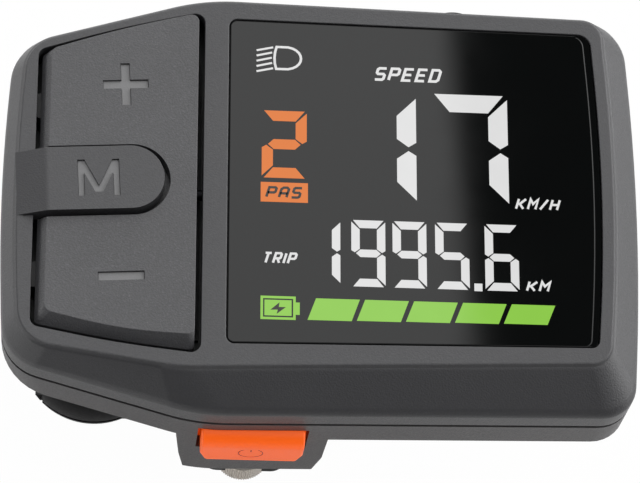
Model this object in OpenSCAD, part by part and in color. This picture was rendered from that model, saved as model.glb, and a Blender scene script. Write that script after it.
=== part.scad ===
// E-bike display: colour screen and keypad on a hinged handlebar clamp.
// Origin: centre of the clamp bore. +X runs right along the handlebar,
// +Y points away from the rider, +Z points out of the screen.

/* [Handlebar clamp] */
// Diameter of the handlebar
bar_d = 22.2; // [19:0.1:26]
// Gap between the bar and each liner
bar_fit = 0.05; // [0.02:0.01:0.1]
// Thickness of the rubber liners
liner_t = 0.8; // [0.6:0.1:1.5]
// Width of the clamp along the bar
clamp_w = 40.4; // [36:0.2:44]
// Largest wall of the clamp outside the liner
clamp_wall = 3.3; // [2.8:0.1:4]
// Radius of the barrel curve at the left end of the clamp
barrel_r = 11; // [10:0.5:13]
// How much thinner the clamp is over its right part
barrel_drop = 0.9; // [0.2:0.1:1]
// How far the upper clamp half reaches below the bar axis
split_drop = 1.6; // [1:0.1:2]
// Gap between the two clamp halves
split_gap = 1; // [0.6:0.1:1.5]
// Thickness of the jaw's ear under the boss
ear_t = 4; // [3:0.5:5]
// Width of the jaw's ear
ear_w = 13; // [11:0.5:15]
// Radius of the hinge pin
hinge_pin_r = 1.5; // [1.2:0.1:2]
// Wall of the hinge knuckles round the pin
knuckle_wall = 1.5; // [1.2:0.1:2]
// Length of the hinge
hinge_l = 26; // [20:1:30]

/* [Clamp screw] */
// Radius of the screw's shank
screw_r = 2.5; // [2:0.1:3]
// Radius of the screw's head
screw_head_r = 4.25; // [3.8:0.05:4.6]
// Height of the screw's head
screw_head_h = 5; // [4:0.5:6]
// Width across flats of the hexagon socket
screw_hex = 4; // [3:0.5:5]
// Place of the screw to the right of the clamp centre
screw_x = 10.8; // [8:0.2:13]
// Distance of the screw's axis from the clamp's seat
screw_out = 4.3; // [4.1:0.1:5]
// Outer radius of the threaded insert
insert_r = 3.4; // [3.2:0.1:3.8]
// Length of the threaded insert
insert_l = 7; // [6:0.5:7.5]

/* [Case outline] */
// Left edge of the case from the clamp centre
case_left = 25.8; // [25:0.1:28]
// Right corners of the case from the clamp centre
case_right = 64.5; // [62:0.1:70]
// How far the right edge bulges between its corners
right_bow = 1; // [0.5:0.1:1.5]
// How far the rider's side of the case at its waist lies past the clamp screw's axis
near_past_screw = 5.9; // [5.5:0.1:7]
// Far side of the case at its waist, from the bar axis
case_far = 41.4; // [41:0.1:46]
// Place of the waist, where the slanted left part begins
waist_x = 2.5; // [1:0.5:5]
// How much the near side draws in at its right end
near_taper = 1.3; // [0.5:0.1:2]
// How much the far side draws in at its right end
far_taper = 1; // [0.5:0.1:2]
// How much the near side draws in at its left end
nose_near = 7.6; // [6:0.1:9]
// How much the far side draws in at its left end
nose_far = 8.3; // [7:0.1:10]
// Corner radius of the case at the right
corner_r = 6.5; // [5:0.5:8]
// Corner radius of the case at the left
nose_r = 7; // [5:0.5:8]
// Radius that blends the waist
waist_r = 30; // [20:1:40]

/* [Case heights] */
// Gap between the clamp's seat and the floor of the case
bar_clear = 0.6; // [0.5:0.1:2]
// Height of the front cover
front_h = 9; // [8.8:0.1:10]
// Height of the upright lip of the front cover
lip_h = 4.6; // [4:0.1:5]
// Height of the step round the flat face
face_step = 0.5; // [0.3:0.1:0.8]
// Width of the step round the flat face
face_step_w = 0.35; // [0.2:0.05:0.5]
// Height of the rear cover
rear_h = 6.8; // [6.6:0.1:7.5]
// Wall of both covers
wall = 1.8; // [1.5:0.1:2]
// Groove between the covers
groove = 0.3; // [0.2:0.05:0.5]
// Bevel width of the front cover at the left
bevel_left = 2.1; // [1.5:0.1:3]
// Bevel width of the front cover at the right
bevel_right = 4.1; // [3:0.1:5]
// Bevel width at the near side of the waist
bevel_near = 5.5; // [4.5:0.1:6]
// Bevel width at the near right corner
bevel_near_right = 6.4; // [5:0.1:7]
// Bevel width at the near left corner
bevel_nose = 1.2; // [1:0.1:2]
// Bevel width along the far side
bevel_far = 1.7; // [1:0.1:2]

/* [Screen] */
// Left edge of the screen from the clamp centre
screen_left = 6; // [5.5:0.1:7]
// Width of the screen
screen_w = 52.8; // [48:0.1:54]
// Near edge of the screen from the near side of the case
screen_in = 9.1; // [8.8:0.1:10]
// Height of the screen from near edge to far edge
screen_h = 49.8; // [46:0.1:50.5]
// Corner radius of the screen
screen_r = 1.2; // [0.8:0.1:2]
// Thickness of the window
window_t = 1.3; // [1:0.1:1.6]
// Gap round the window in its recess
window_fit = 0.15; // [0.1:0.05:0.3]
// Width of the ledge under the window
ledge_w = 1.6; // [1.2:0.1:2]
// Thickness of the adhesive film
film_t = 0.2; // [0.1:0.05:0.3]

/* [Keys] */
// Right edge of the keypad opening from the clamp centre
keypad_right = 2.5; // [2:0.1:3]
// Left edge of the keypad opening from the clamp centre
keypad_left = 21.4; // [20:0.1:21.6]
// Near right corner of the keypad opening from the near side of the case
keypad_in_near = 7.5; // [7.2:0.1:8.5]
// Far right corner of the keypad opening from the far side of the case
keypad_in_far = 3.5; // [3.4:0.1:5]
// How much the opening draws in at its near left corner
keypad_draw_near = 3.5; // [3:0.1:5]
// How much the opening draws in at its far left corner
keypad_draw_far = 7; // [6.8:0.1:9]
// Gap round the keys
key_gap = 0.6; // [0.4:0.05:0.8]
// Height of the rocker over the face
rocker_rise = 0.7; // [0.4:0.1:1]
// Bevel round the top of the rocker
rocker_bevel = 1.6; // [1:0.1:2]
// Tilt of the rocker each way, in degrees
rocker_tilt = 1.5; // [1:0.1:2]
// Turn of the mode key and the marks seen from above, in degrees
mode_skew = 3.5; // [0:0.5:4]
// Tilt of the mode key when it is pressed, in degrees
mode_tilt = 1.6; // [1:0.1:2]
// Height of the mode key over the face
mode_rise = 1.7; // [1.2:0.1:2]
// Half width of the mode key's slot
mode_slot = 5.1; // [4.5:0.1:6]
// How much nearer the left end of the mode key lies than the middle of the rocker
mode_shift = 0.6; // [0:0.1:1.5]
// Depth of the marks below the key tops
mark_sink = 0.35; // [0.15:0.05:0.4]
// Length of the strokes of the plus and minus marks
mark_l = 6.4; // [5:0.1:7]
// Width of the strokes of the plus and minus marks
mark_w = 1.2; // [0.8:0.1:1.6]

/* [Power button] */
// Width of the power button
button_w = 14.8; // [12:0.1:16]
// Height of the power button
button_h = 7.8; // [6:0.1:8]
// How far the power button stands proud
button_rise = 2; // [1:0.1:2.5]
// Travel of the power button
button_travel = 0.6; // [0.3:0.1:0.8]
// Gap at the ends of the power button
button_gap = 0.5; // [0.3:0.1:0.8]

/* [Boss] */
// Width of the boss at its root
boss_w = 21.8; // [20:0.2:24]
// How far the boss draws in at its left foot
boss_draw = 1.6; // [1:0.1:2.5]
// How far the boss draws in at its right foot
boss_chamfer = 1.2; // [1:0.1:2]

/* [Cable inlet] */
// Place of the cable gland to the right of the clamp centre
gland_x = 40; // [34:1:46]
// Outer radius of the cable gland
gland_r = 2.7; // [2.4:0.1:2.9]
// Radius of the cable hole
cable_r = 1.6; // [1.4:0.1:2]
// How far the gland stands out of the case
gland_out = 3; // [2:0.5:4]

/* [Hidden] */
$fn = 64;
arc_steps = 8;
skin = 0.05;
over = 1;

// Case colours
cover_grey = [0.33, 0.33, 0.34];
rear_grey = [0.38, 0.38, 0.39];
clamp_black = [0.09, 0.09, 0.1];
rubber_black = [0.06, 0.06, 0.06];
signal_orange = [0.93, 0.38, 0.12];
steel_grey = [0.72, 0.71, 0.69];
brass_yellow = [0.72, 0.56, 0.26];
board_green = [0.05, 0.32, 0.18];

// Radii of the clamp
seat_fit = 0.05;
liner_in = bar_d / 2 + bar_fit;
liner_out = liner_in + liner_t;
seat_r = liner_out + seat_fit;
clamp_r = liner_out + clamp_wall;
liner_gap = 0.3;
jaw_z = -(split_drop + split_gap);

// Levels over the bar axis
floor_z = seat_r + bar_clear;
part_z = floor_z + rear_h;
face_z = part_z + front_h;
lip_z = part_z + lip_h;
floor_t = 2;
floor_top = floor_z + floor_t;
roof_z = face_z - wall;
front_z = part_z + groove / 2;
rear_z = part_z - groove / 2;

// Barrel curve of the clamp
barrel_reach = 8.4;
rim_wall = 0.3;
end_chamfer = 1.5;
barrel_x = -clamp_w / 2 + barrel_reach;
function barrel_side(r) = sqrt(pow(barrel_r, 2) - pow(r - clamp_r + barrel_r, 2));
barrel_end = barrel_side(seat_r + rim_wall);
barrel_run = sqrt(pow(barrel_r, 2) - pow(barrel_r - barrel_drop, 2));
clamp_left = barrel_x - barrel_end;
barrel_arc = [for (i = [0:2 * arc_steps])
    let (s = -barrel_end + (barrel_end + barrel_run) * i / (2 * arc_steps))
    [clamp_r - barrel_r + sqrt(pow(barrel_r, 2) - pow(s, 2)), barrel_x + s]];
barrel_profile = concat([[seat_r, clamp_left]], barrel_arc,
    [[clamp_r - barrel_drop, clamp_w / 2 - end_chamfer],
     [clamp_r - barrel_drop - end_chamfer, clamp_w / 2],
     [seat_r, clamp_w / 2]]);

// Hinge of the clamp
knuckle_r = hinge_pin_r + knuckle_wall;
hinge_bar_gap = 1;
hinge_y = seat_r + hinge_bar_gap + knuckle_r;
hinge_z = -(split_drop + split_gap / 2);
knuckle_gap = 0.3;
knuckle_l = hinge_l / 3;
web_up = 4.5;
pin_fit = 0.04;
pin_press = 0.01;
pin_stand = 0.5;
pin_chamfer = 0.3;

// Clamp screw and its seat
screw_y = seat_r + screw_out;
case_near = screw_y + near_past_screw;
screw_top = 5.4;
head_fit = 0.05;
screw_slot = 0.2;
head_room = 0.35;
ear_z = jaw_z - ear_t;
head_z = ear_z - head_fit;
socket_depth = 2.6;
head_chamfer = 0.5;
insert_sink = 0.3;
insert_fit = 0.02;
thread_fit = 0.05;
ear_round = 2.5;
ear_front = screw_y + screw_head_r;

// Saddle block and its screws
block_in = 4.2;
block_right_in = 1;
block_z = 4;
saddle_screw_r = 1.4;
saddle_head_r = 2.6;
saddle_head_h = 1.5;
saddle_screw_l = 4;
saddle_screw_share = 0.85;
saddle_screw_y = saddle_screw_share * seat_r;
saddle_edge = 2.4;
block_y = saddle_screw_y + saddle_edge;
saddle_screw_in = 6.5;
saddle_spots = [[-clamp_w / 2 + saddle_screw_in, saddle_screw_y],
    [-clamp_w / 2 + saddle_screw_in, -saddle_screw_y],
    [clamp_w / 2 - saddle_screw_in, saddle_screw_y]];

// Boss
boss_set = 0.2;
boss_front = case_near - boss_set;
boss_in = 2.2;
boss_back = seat_r - boss_in;
boss_left = screw_x - boss_w / 2;
boss_right = screw_x + boss_w / 2;
boss_slope = 6.1;
boss_fit = 0.3;

// Outlines as corner points, anticlockwise from the near left
mid_y = (case_far - case_near) / 2;
left_bow = 0.8;
left_mid = (case_far - nose_far + nose_near - case_near) / 2;
case_corners = [[left_bow - case_left, nose_near - case_near],
    [waist_x, -case_near],
    [case_right, near_taper - case_near],
    [case_right + 2 * right_bow, mid_y],
    [case_right, case_far - far_taper],
    [waist_x, case_far],
    [left_bow - case_left, case_far - nose_far],
    [-left_bow - case_left, left_mid]];
bevel_waist = 3;
face_corners = [[left_bow + bevel_left - case_left, nose_near - case_near + bevel_nose],
    [waist_x - bevel_waist, bevel_near - case_near],
    [case_right - bevel_right, near_taper - case_near + bevel_near_right],
    [case_right + 2 * right_bow - bevel_right, mid_y],
    [case_right - bevel_right, case_far - far_taper - bevel_far],
    [waist_x, case_far - bevel_far],
    [left_bow + bevel_left - case_left, case_far - nose_far - bevel_nose],
    [bevel_left - left_bow - case_left, left_mid]];
half_side = (case_far + case_near - near_taper - far_taper) / 2;
bow_share = 1.3;
bow_r = (half_side - bow_share * corner_r) * half_side / (2 * right_bow);
face_soft = 1.5;
face_corner_r = 3;
face_bow_share = 0.78;
left_half = (case_far - nose_far + case_near - nose_near) / 2;
left_share = 0.9;
left_bow_r = (left_half - left_share * nose_r) * left_half / (2 * left_bow);
near_corner_r = 5.2;
case_radii = [nose_r, waist_r, near_corner_r, bow_r, corner_r, waist_r, nose_r, left_bow_r];
face_radii = [nose_r - face_soft, waist_r, face_corner_r, face_bow_share * bow_r, face_corner_r,
    waist_r, nose_r - face_soft, left_bow_r];

// Screen corners, anticlockwise from the near left
screen_near = case_near - screen_in;
screen_right = screen_left + screen_w;
screen_far = screen_h - screen_near;
screen_shift = 2.2;
screen_mid = (screen_far - screen_near) / 2 - screen_shift;
screen_rise = 0.9;
screen_bow = 0.9;
screen_slant = 0.25;
screen_corners = [[screen_left, -screen_near],
    [screen_right, screen_rise - screen_near],
    [screen_right + 2 * screen_bow, screen_mid],
    [screen_right, screen_far - screen_slant],
    [screen_left, screen_far + screen_slant]];
panel_corners = [for (i = [0, 1, 3, 4]) screen_corners[i]];
screen_half = (screen_h - screen_rise) / 2;
screen_bow_share = 4;
screen_bow_r = (screen_half - screen_bow_share * screen_r) * screen_half / (2 * screen_bow);
screen_far_r = 2;
screen_radii = [screen_r, screen_r, screen_bow_r, screen_far_r, screen_r];

// Keypad corners, anticlockwise from the near left
keypad_r = 1.4;
keypad_near = case_near - keypad_in_near;
keypad_far = case_far - keypad_in_far;
keypad_mid = (keypad_right - keypad_left) / 2;
keypad_bow = 0.5;
keypad_bow_r = 150;
keypad_corners = [[-keypad_left, keypad_draw_near - keypad_near],
    [keypad_mid, keypad_draw_near / 2 - keypad_near - keypad_bow],
    [keypad_right, -keypad_near],
    [keypad_right, keypad_far],
    [keypad_mid, keypad_far - keypad_draw_far / 2 + keypad_bow],
    [-keypad_left, keypad_far - keypad_draw_far]];
keypad_radii = [keypad_r, keypad_bow_r, keypad_r, keypad_r, keypad_bow_r, keypad_r];

// Rocker
rocker_shift = 1;
rocker_y = (keypad_far - keypad_near) / 2 - rocker_shift;
rocker_top = face_z + rocker_rise;
rocker_plate = 1.9;
rocker_skirt = 3.7;
rocker_skirt_w = 1.3;
rocker_edge = 0.05;
rocker_bottom = rocker_top - rocker_skirt;
bridge_t = 1;
bridge_in = 0.2;
rocker_pin_r = 0.8;
rocker_pin_rise = 5.2;
rocker_pin_z = part_z + rocker_pin_rise;
rocker_lug_r = 1.6;
rocker_lug_w = 1.8;
rocker_pin_l = 5.2;
rocker_arm = 14.7;
mark_shift = 0.35;
key_x = -8.8;
rocker_lift_share = 0.5;
rocker_lift = rocker_lift_share * key_gap;
stem_r = 1.2;

// Mode key, drawn from the left end of its centre line
mode_x = -22.5;
mode_y = rocker_y - mode_shift;
mode_top = face_z + mode_rise;
mode_fit = key_gap / 2;
mode_half = mode_slot - mode_fit;
mode_round = 15;
mode_ramp_end = 2.9;
mode_ramp_drop = 1.85;
mode_ramp_l = 4.8;
mode_body = 2.7;
mode_root_in = 0.5;
mode_root_t = 1.9;
mode_root_l = 1.2;
mode_stem_x = 10;
mode_pin_r = 0.5;
mode_pin_drop = 1;
mode_pin_l = 1.4;
mode_hole_r = 2.2;
notch_fit = 0.2;

// Boards, membrane and domes
board_lift = 1.2;
board_t = 1.2;
board_z = part_z + board_lift;
board_top = board_z + board_t;
board_in = wall + 0.5;
dome_r = 2.5;
dome_h = 0.3;
dome_crown = 0.6;
mat_lift = 0.35;
mat_t = 0.5;
mat_top = board_top + mat_lift + mat_t;
mat_rim = 0.8;
mat_left = 18.1;
mat_right = 2.4;
mat_half = 21.4;
bump_r = 1.5;
bump_h = 0.35;
press_clear = 0.06;
press_gap = rocker_arm * sin(rocker_tilt) + press_clear;
mode_press_gap = mode_stem_x * sin(mode_tilt) + press_clear;

// Screen stack
window_sink = 0.1;
window_z = face_z - window_sink - window_t;
ledge_z = window_z - film_t;
ledge_t = 1.2;
frame_in = ledge_w + 0.3;
frame_wall = 0.8;
frame_drop = 0.2;
panel_t = 1.4;
panel_gap = 0.2;
panel_fit = 0.1;
panel_z = window_z - panel_gap - panel_t;
flex_w = 18;
flex_t = 0.2;
flex_x = 32;
flex_out = 1.6;
flex_in = 1.2;
flex_socket_h = 1.6;
flex_socket_w = 2.6;
flex_clear = 0.1;
flex_near = frame_in - screen_near + screen_rise / 2;

// Screws between the covers, and under the board
post_r = 2;
post_x = 28;
post_in = 5.3;
post_dy = 13;
right_post_in = 3;
left_post_h = 5;
post_web = 1.2;
housing_spots = [[post_in - case_left, rocker_y + post_dy],
    [post_in - case_left, rocker_y - post_dy],
    [post_x, case_far - far_taper / 2 - wall - post_r],
    [post_x, near_taper / 2 - case_near + wall + 2 * post_r],
    [case_right + right_bow - wall - right_post_in, mid_y]];
rear_post_r = 2.7;
housing_screw_r = 1.1;
housing_head_r = 1.9;
housing_head_h = 1.4;
housing_seat = 2.6;
housing_screw_l = 8.6;
hole_fit = 0.15;
head_gap = 0.3;
thread_press = 0.02;
drive_share = 0.8;
board_post_r = 1.9;
board_screw_r = 0.95;
board_screw_l = 4.4;
board_head_h = 1.1;
board_post_left = 1.2;
board_post_right = 1.4;
board_post_far = 6.7;
board_post_far_right = 3.7;
board_post_near = 5.1;
board_post_near_right = 3.6;
board_spots = [[screen_left - board_post_left, screen_far - board_post_far],
    [screen_left - board_post_left, board_post_near - screen_near],
    [screen_right + board_post_right, screen_far - board_post_far_right],
    [screen_right + board_post_right, board_post_near_right - screen_near]];
stay_r = 1.5;
stay_x = -14;
stay_dy = 14;
stay_gap = 0.05;

// Power button
button_drop = 6.6;
button_z = part_z - button_drop;
button_fit = 0.3;
flange = 0.8;
flange_t = 0.7;
flange_gap = 0.1;
pocket_fit = 0.2;
pocket_depth = 4.1;
pocket_back = boss_front - wall - pocket_depth;
power_board_t = 1;
power_board_up = 5.8;
dome_gap = 0.15;
lead_w = 6;
lead_t = 0.15;

// Small parts on the main board
chip_spots = [[19, 21.1], [32, 15.1], [6, 35.1], [40, 27.1], [27, 37.1]];
chip_sizes = [[9, 9, 1.2], [6, 5, 1.5], [8, 6, 1.8], [4, 3, 1], [3, 6, 1]];
cap_spot = [44, 39.1];
cap_r = 3;
cap_h = 4.2;
socket_size = [8, 5, 3];
socket_in = 7.9;
socket_y = case_far - socket_in;
gland_drop = 3;
gland_z = part_z - gland_drop;
gland_fit = 0.02;
gland_rib = 0.4;

function unit(v) = v / norm(v);
function flat_turn(a) = a > 180 ? a - 360 : a < -180 ? a + 360 : a;
function corner_half(a, b, c) = acos(unit(a - b) * unit(c - b)) / 2;

// Points of an arc of radius r that rounds the corner b between a and c
function corner_arc(a, b, c, r) = let (
    half = corner_half(a, b, c),
    mid = b + unit(unit(a - b) + unit(c - b)) * r / sin(half),
    start = b + unit(a - b) * r / tan(half) - mid,
    end = b + unit(c - b) * r / tan(half) - mid,
    from = atan2(start[1], start[0]),
    sweep = flat_turn(atan2(end[1], end[0]) - from))
    [for (i = [0:arc_steps]) mid + r * [cos(from + sweep * i / arc_steps),
        sin(from + sweep * i / arc_steps)]];

// An outline with each of its corners rounded
function rounded(points, radii) = let (count = len(points))
    [for (i = [0:count - 1])
        each corner_arc(points[(i + count - 1) % count], points[i],
            points[(i + 1) % count], radii[i])];

// The corners of an outline moved inwards by d
function inset(points, d) = let (count = len(points))
    [for (i = [0:count - 1])
        let (a = points[(i + count - 1) % count], b = points[i], c = points[(i + 1) % count])
        b + unit(unit(a - b) + unit(c - b)) * d / sin(corner_half(a, b, c))];
function less(radii, d) = [for (r = radii) max(r - d, skin)];
function mode_ramp(x) = mode_top - mode_ramp_drop * (mode_ramp_end - x) / mode_ramp_l;

function case_line(d) = rounded(inset(case_corners, d), less(case_radii, d));
function face_line(d) = rounded(inset(face_corners, d), less(face_radii, d));
function screen_line(d) = rounded(inset(screen_corners, d), less(screen_radii, d));
function keypad_line(d) = rounded(inset(keypad_corners, d), less(keypad_radii, d));
function rocker_line(d) = rounded(inset(rocker_corners, d), less(keypad_radii, key_gap + d));
function far_edge(x) = case_far - far_taper * (x - waist_x) / (case_right - waist_x);

module slab(points, low, high) translate([0, 0, low]) linear_extrude(high - low) polygon(points);
module loft(levels) hull() for (level = levels) slab(level[0], level[1], level[1] + skin);
// A straight wall from low to mid that then leans to another outline at top
module taper(points, low, mid, top_points, top) hull() {
    slab(points, low, mid);
    slab(top_points, top - skin, top);
}
module post(spot, r, low, high) translate([spot[0], spot[1], low]) cylinder(r = r, h = high - low);
module box(low, high) translate(low) cube(high - low);
module along_x(from, to, r, y, z) translate([from, y, z]) rotate([0, 90, 0])
    cylinder(r = r, h = to - from);
module along_y(x, from, to, r, z) translate([x, from, z]) rotate([-90, 0, 0])
    cylinder(r = r, h = to - from);
module side_slab(points, from, to) translate([from, 0, 0]) rotate([90, 0, 90])
    linear_extrude(to - from) polygon(points);
module mode_place() translate([mode_x, mode_y, 0]) rotate(mode_skew) children();
module front_slab(points, from, to) translate([0, to, 0]) rotate([90, 0, 0])
    linear_extrude(to - from) polygon(points);
module clamp_barrel() rotate([0, 90, 0]) rotate_extrude() polygon(barrel_profile);
module bar_cut(r) along_x(-clamp_w, clamp_w, r, 0, 0);
module knuckle(from, to, r) along_x(from, to, r, hinge_y, hinge_z);

// The mode key's outline seen from above, from its own left end
module tongue(half, from, low, high, end_x = mode_round) {
    box([from, -half, low], [end_x, half, high]);
    post([end_x, 0], half, low, high);
}

module front_cover() {
    inner_share = 0.4;
    lug_w = 2.4;
    lug_y = 1.8;
    lug_low = rocker_pin_z - rocker_lug_r;
    lug_drop = 2.2;
    left_lug_top = face_z - lug_drop;
    foot_start = -mode_root_in - notch_fit;
    foot_end = mode_ramp_end - mode_ramp_l * mode_rise / mode_ramp_drop;
    step_line = rounded(inset(face_corners, -face_step_w), less(face_radii, -face_step_w));
    color(cover_grey) difference() {
        union() {
            difference() {
                union() {
                    taper(case_line(0), front_z, lip_z, step_line, face_z - face_step);
                    taper(step_line, face_z - face_step - skin, face_z - face_step, face_line(0), face_z);
                }
                taper(case_line(wall), part_z - over, lip_z - inner_share * wall,
                    face_line(inner_share * wall), roof_z);
            }
            // Foot of the mode key's ramp on the rim
            mode_place() front_slab([[foot_end, roof_z], [foot_start, roof_z],
                [foot_start, mode_ramp(foot_start)], [foot_end, face_z]], -mode_half, mode_half);
            // Ledge that carries the window
            slab(screen_line(-ledge_w / 2), ledge_z - ledge_t, roof_z + skin);
            // Posts for the housing screws and the board screws
            for (i = [0:1]) {
                post(housing_spots[i], post_r, front_z, front_z + left_post_h);
                box([wall / 2 - case_left, housing_spots[i][1] - post_web, front_z],
                    [housing_spots[i][0], housing_spots[i][1] + post_web, front_z + left_post_h]);
            }
            for (i = [2:4]) intersection() {
                post(housing_spots[i], post_r, front_z, roof_z + skin);
                slab(case_line(wall / 2), part_z, face_z);
            }
            for (spot = board_spots) post(spot, board_post_r, board_top, roof_z + skin);
            // Lugs that hold the rocker's pins
            box([wall / 2 - case_left, rocker_y - lug_y, lug_low],
                [wall - case_left + lug_w, rocker_y + lug_y, left_lug_top]);
            box([keypad_right + key_gap, rocker_y - lug_y, lug_low],
                [keypad_right + key_gap + lug_w, rocker_y + lug_y, roof_z + skin]);
        }
        // Recess of the window and the opening below it
        slab(screen_line(0), ledge_z, face_z + over);
        slab(screen_line(ledge_w), ledge_z - ledge_t - over, face_z + over);
        // Opening of the keypad
        slab(keypad_line(0), left_lug_top, face_z + over);
        // Notch at the left end of the mode key
        mode_place() {
            box([foot_start, -mode_slot, left_lug_top], [mode_root_l + over, mode_slot, face_z + over]);
            along_y(0, -mode_slot - mode_pin_l, mode_slot + mode_pin_l, mode_pin_r + pin_press,
                face_z - mode_pin_drop);
        }
        // Holes of the rocker's pins and of the screws
        along_x(wall - case_left, -keypad_left + over, rocker_pin_r + pin_press, rocker_y, rocker_pin_z);
        along_x(keypad_right, keypad_right + key_gap + lug_w + over, rocker_pin_r + pin_press,
            rocker_y, rocker_pin_z);
        for (spot = housing_spots) post(spot, housing_screw_r + thread_press, front_z - over,
            floor_z + housing_seat + housing_screw_l + head_gap);
        for (spot = board_spots) post(spot, board_screw_r + thread_press, board_top - over,
            board_z + board_screw_l + head_gap);
    }
}

module rear_cover() {
    foot = 0.4;
    foot_in = 0.15;
    foot_more_r = 2;
    foot_radii = [for (i = [0:7]) case_radii[i] + (i % 6 == 0 ? foot_more_r : 0)];
    boss_lean = 0.2;
    boss_in_line = 0.04;
    band_z = 3.7;
    band_share = 0.45;
    band_right_share = 0.15;
    button_zt = button_z + button_h / 2;
    button_zb = button_z - button_h / 2;
    pocket_half = button_w / 2 + flange + pocket_fit;
    opening_half = button_w / 2 + button_gap;
    color(rear_grey) difference() {
        union() {
            difference() {
                loft([[rounded(inset(case_corners, foot_in), less(foot_radii, foot_in)), floor_z],
                    [rounded(case_corners, foot_radii), floor_z + foot], [case_line(0), rear_z - skin]]);
                slab(case_line(wall), floor_top, part_z + over);
            }
            // Boss for the power button and the clamp screw
            intersection() {
                front_slab([[boss_left, floor_top], [boss_left, floor_z],
                    [boss_left + band_share * boss_draw, boss_slope - split_drop],
                    [boss_left + boss_draw, -split_drop],
                    [boss_right - boss_chamfer, -split_drop],
                    [boss_right - band_right_share * boss_chamfer, boss_slope - split_drop],
                    [boss_right, floor_z], [boss_right, floor_top]], -case_near - over, -boss_back);
                loft([[case_line(boss_lean), -split_drop], [case_line(boss_in_line), band_z],
                    [case_line(boss_in_line), floor_top - skin]]);
            }
            // Posts for the housing screws, and the two that the board rests on
            for (spot = housing_spots) intersection() {
                post(spot, rear_post_r, floor_z + skin, front_z - skin);
                slab(case_line(wall / 2), floor_z, part_z + over);
            }
            for (side = [-1, 1]) post([stay_x, rocker_y + side * stay_dy], stay_r,
                floor_top - skin, board_z - stay_gap);
        }
        bar_cut(seat_r);
        // Screw holes with their counterbores
        for (spot = housing_spots) {
            post(spot, housing_head_r + hole_fit, floor_z - over, floor_z + housing_seat);
            post(spot, housing_screw_r + hole_fit, floor_z, part_z + over);
        }
        for (spot = saddle_spots) post(spot, saddle_screw_r + hole_fit, floor_z - over, floor_top + over);
        // Hole for the threaded insert
        post([screw_x, -screw_y], insert_r + insert_fit, -split_drop - over,
            insert_l + insert_sink - split_drop);
        // Opening for the button and the pocket behind it
        box([screw_x - opening_half, -boss_front - over, button_zb - button_fit],
            [screw_x + opening_half, -boss_front + wall + over, button_zt + button_fit]);
        box([screw_x - pocket_half, -boss_front + wall, button_zb - flange - pocket_fit],
            [screw_x + pocket_half, -pocket_back, part_z + over]);
        // Hole for the cable gland
        along_y(gland_x, case_far - 2 * wall - over, case_far + over, gland_r + gland_fit, gland_z);
    }
}

module housing_seal() {
    seal_in = 0.7;
    color(rubber_black) difference() {
        slab(case_line(seal_in), rear_z, front_z);
        slab(case_line(wall), rear_z - over, front_z + over);
        for (spot = housing_spots) post(spot, rear_post_r + hole_fit, rear_z - over, front_z + over);
    }
}

module display_window() {
    color([0.03, 0.03, 0.035]) slab(screen_line(window_fit), window_z, window_z + window_t);
}

module window_adhesive() {
    color([0.1, 0.1, 0.1]) difference() {
        slab(screen_line(window_fit), ledge_z, window_z);
        slab(screen_line(ledge_w), ledge_z - over, window_z + over);
    }
}

module lcd_panel() {
    color([0.12, 0.13, 0.16])
        slab(inset(panel_corners, frame_in + frame_wall + panel_fit), panel_z, panel_z + panel_t);
}

module lcd_frame() {
    color([0.85, 0.85, 0.85]) difference() {
        slab(inset(panel_corners, frame_in), board_top, window_z - frame_drop - panel_gap);
        slab(inset(panel_corners, frame_in + frame_wall), panel_z, face_z);
        box([flex_x - flex_w / 2 - flex_clear, -screen_near, panel_z - flex_t - flex_clear],
            [flex_x + flex_w / 2 + flex_clear, flex_near + 2 * flex_in + flex_clear, panel_z + over]);
    }
}

module lcd_flex() {
    out = flex_near - flex_out;
    side_points = [[flex_near + 2 * flex_in, panel_z], [out, panel_z],
        [out, board_top + flex_socket_h], [out + flex_t, board_top + flex_socket_h],
        [out + flex_t, panel_z - flex_t], [flex_near + 2 * flex_in, panel_z - flex_t]];
    color([0.75, 0.45, 0.1])
        side_slab(side_points, flex_x - flex_w / 2, flex_x + flex_w / 2);
}

module flex_socket() {
    near = flex_near - flex_out + flex_t / 2;
    half_l = (flex_w + flex_socket_h) / 2;
    color([0.9, 0.88, 0.8]) box([flex_x - half_l, near - flex_socket_w / 2, board_top],
        [flex_x + half_l, near + flex_socket_w / 2, board_top + flex_socket_h]);
}

module circuit_board() {
    color(board_green) difference() {
        slab(case_line(board_in), board_z, board_top);
        for (spot = housing_spots) post(spot, rear_post_r, board_z - over, board_top + over);
        for (spot = board_spots) post(spot, board_screw_r + hole_fit, board_z - over, board_top + over);
        for (i = [0:1]) box([-case_left, housing_spots[i][1] - rear_post_r, board_z - over],
            [housing_spots[i][0], housing_spots[i][1] + rear_post_r, board_top + over]);
    }
}

module board_chips() {
    color([0.12, 0.12, 0.12]) {
        for (i = [0:len(chip_spots) - 1]) {
            low = [screen_left + chip_spots[i][0], chip_spots[i][1] - screen_near,
                board_z - chip_sizes[i][2]];
            box(low, low + chip_sizes[i]);
        }
        post([screen_left, -screen_near] + cap_spot, cap_r, board_z - cap_h, board_z);
    }
}

module cable_socket() {
    slot = 1;
    low = [gland_x - socket_size[0] / 2, socket_y, board_z - socket_size[2]];
    color([0.92, 0.9, 0.84]) difference() {
        box(low, low + socket_size);
        box(low + [slot, slot, slot], low + socket_size + [-slot, over, -slot]);
    }
}

module board_screws() {
    recess = 0.5;
    color(steel_grey) for (spot = board_spots) difference() {
        union() {
            post(spot, board_post_r, board_z - board_head_h, board_z);
            post(spot, board_screw_r, board_z, board_z + board_screw_l);
        }
        post(spot, board_screw_r / 2, board_z - board_head_h - over, board_z - board_head_h + recess);
    }
}

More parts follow.
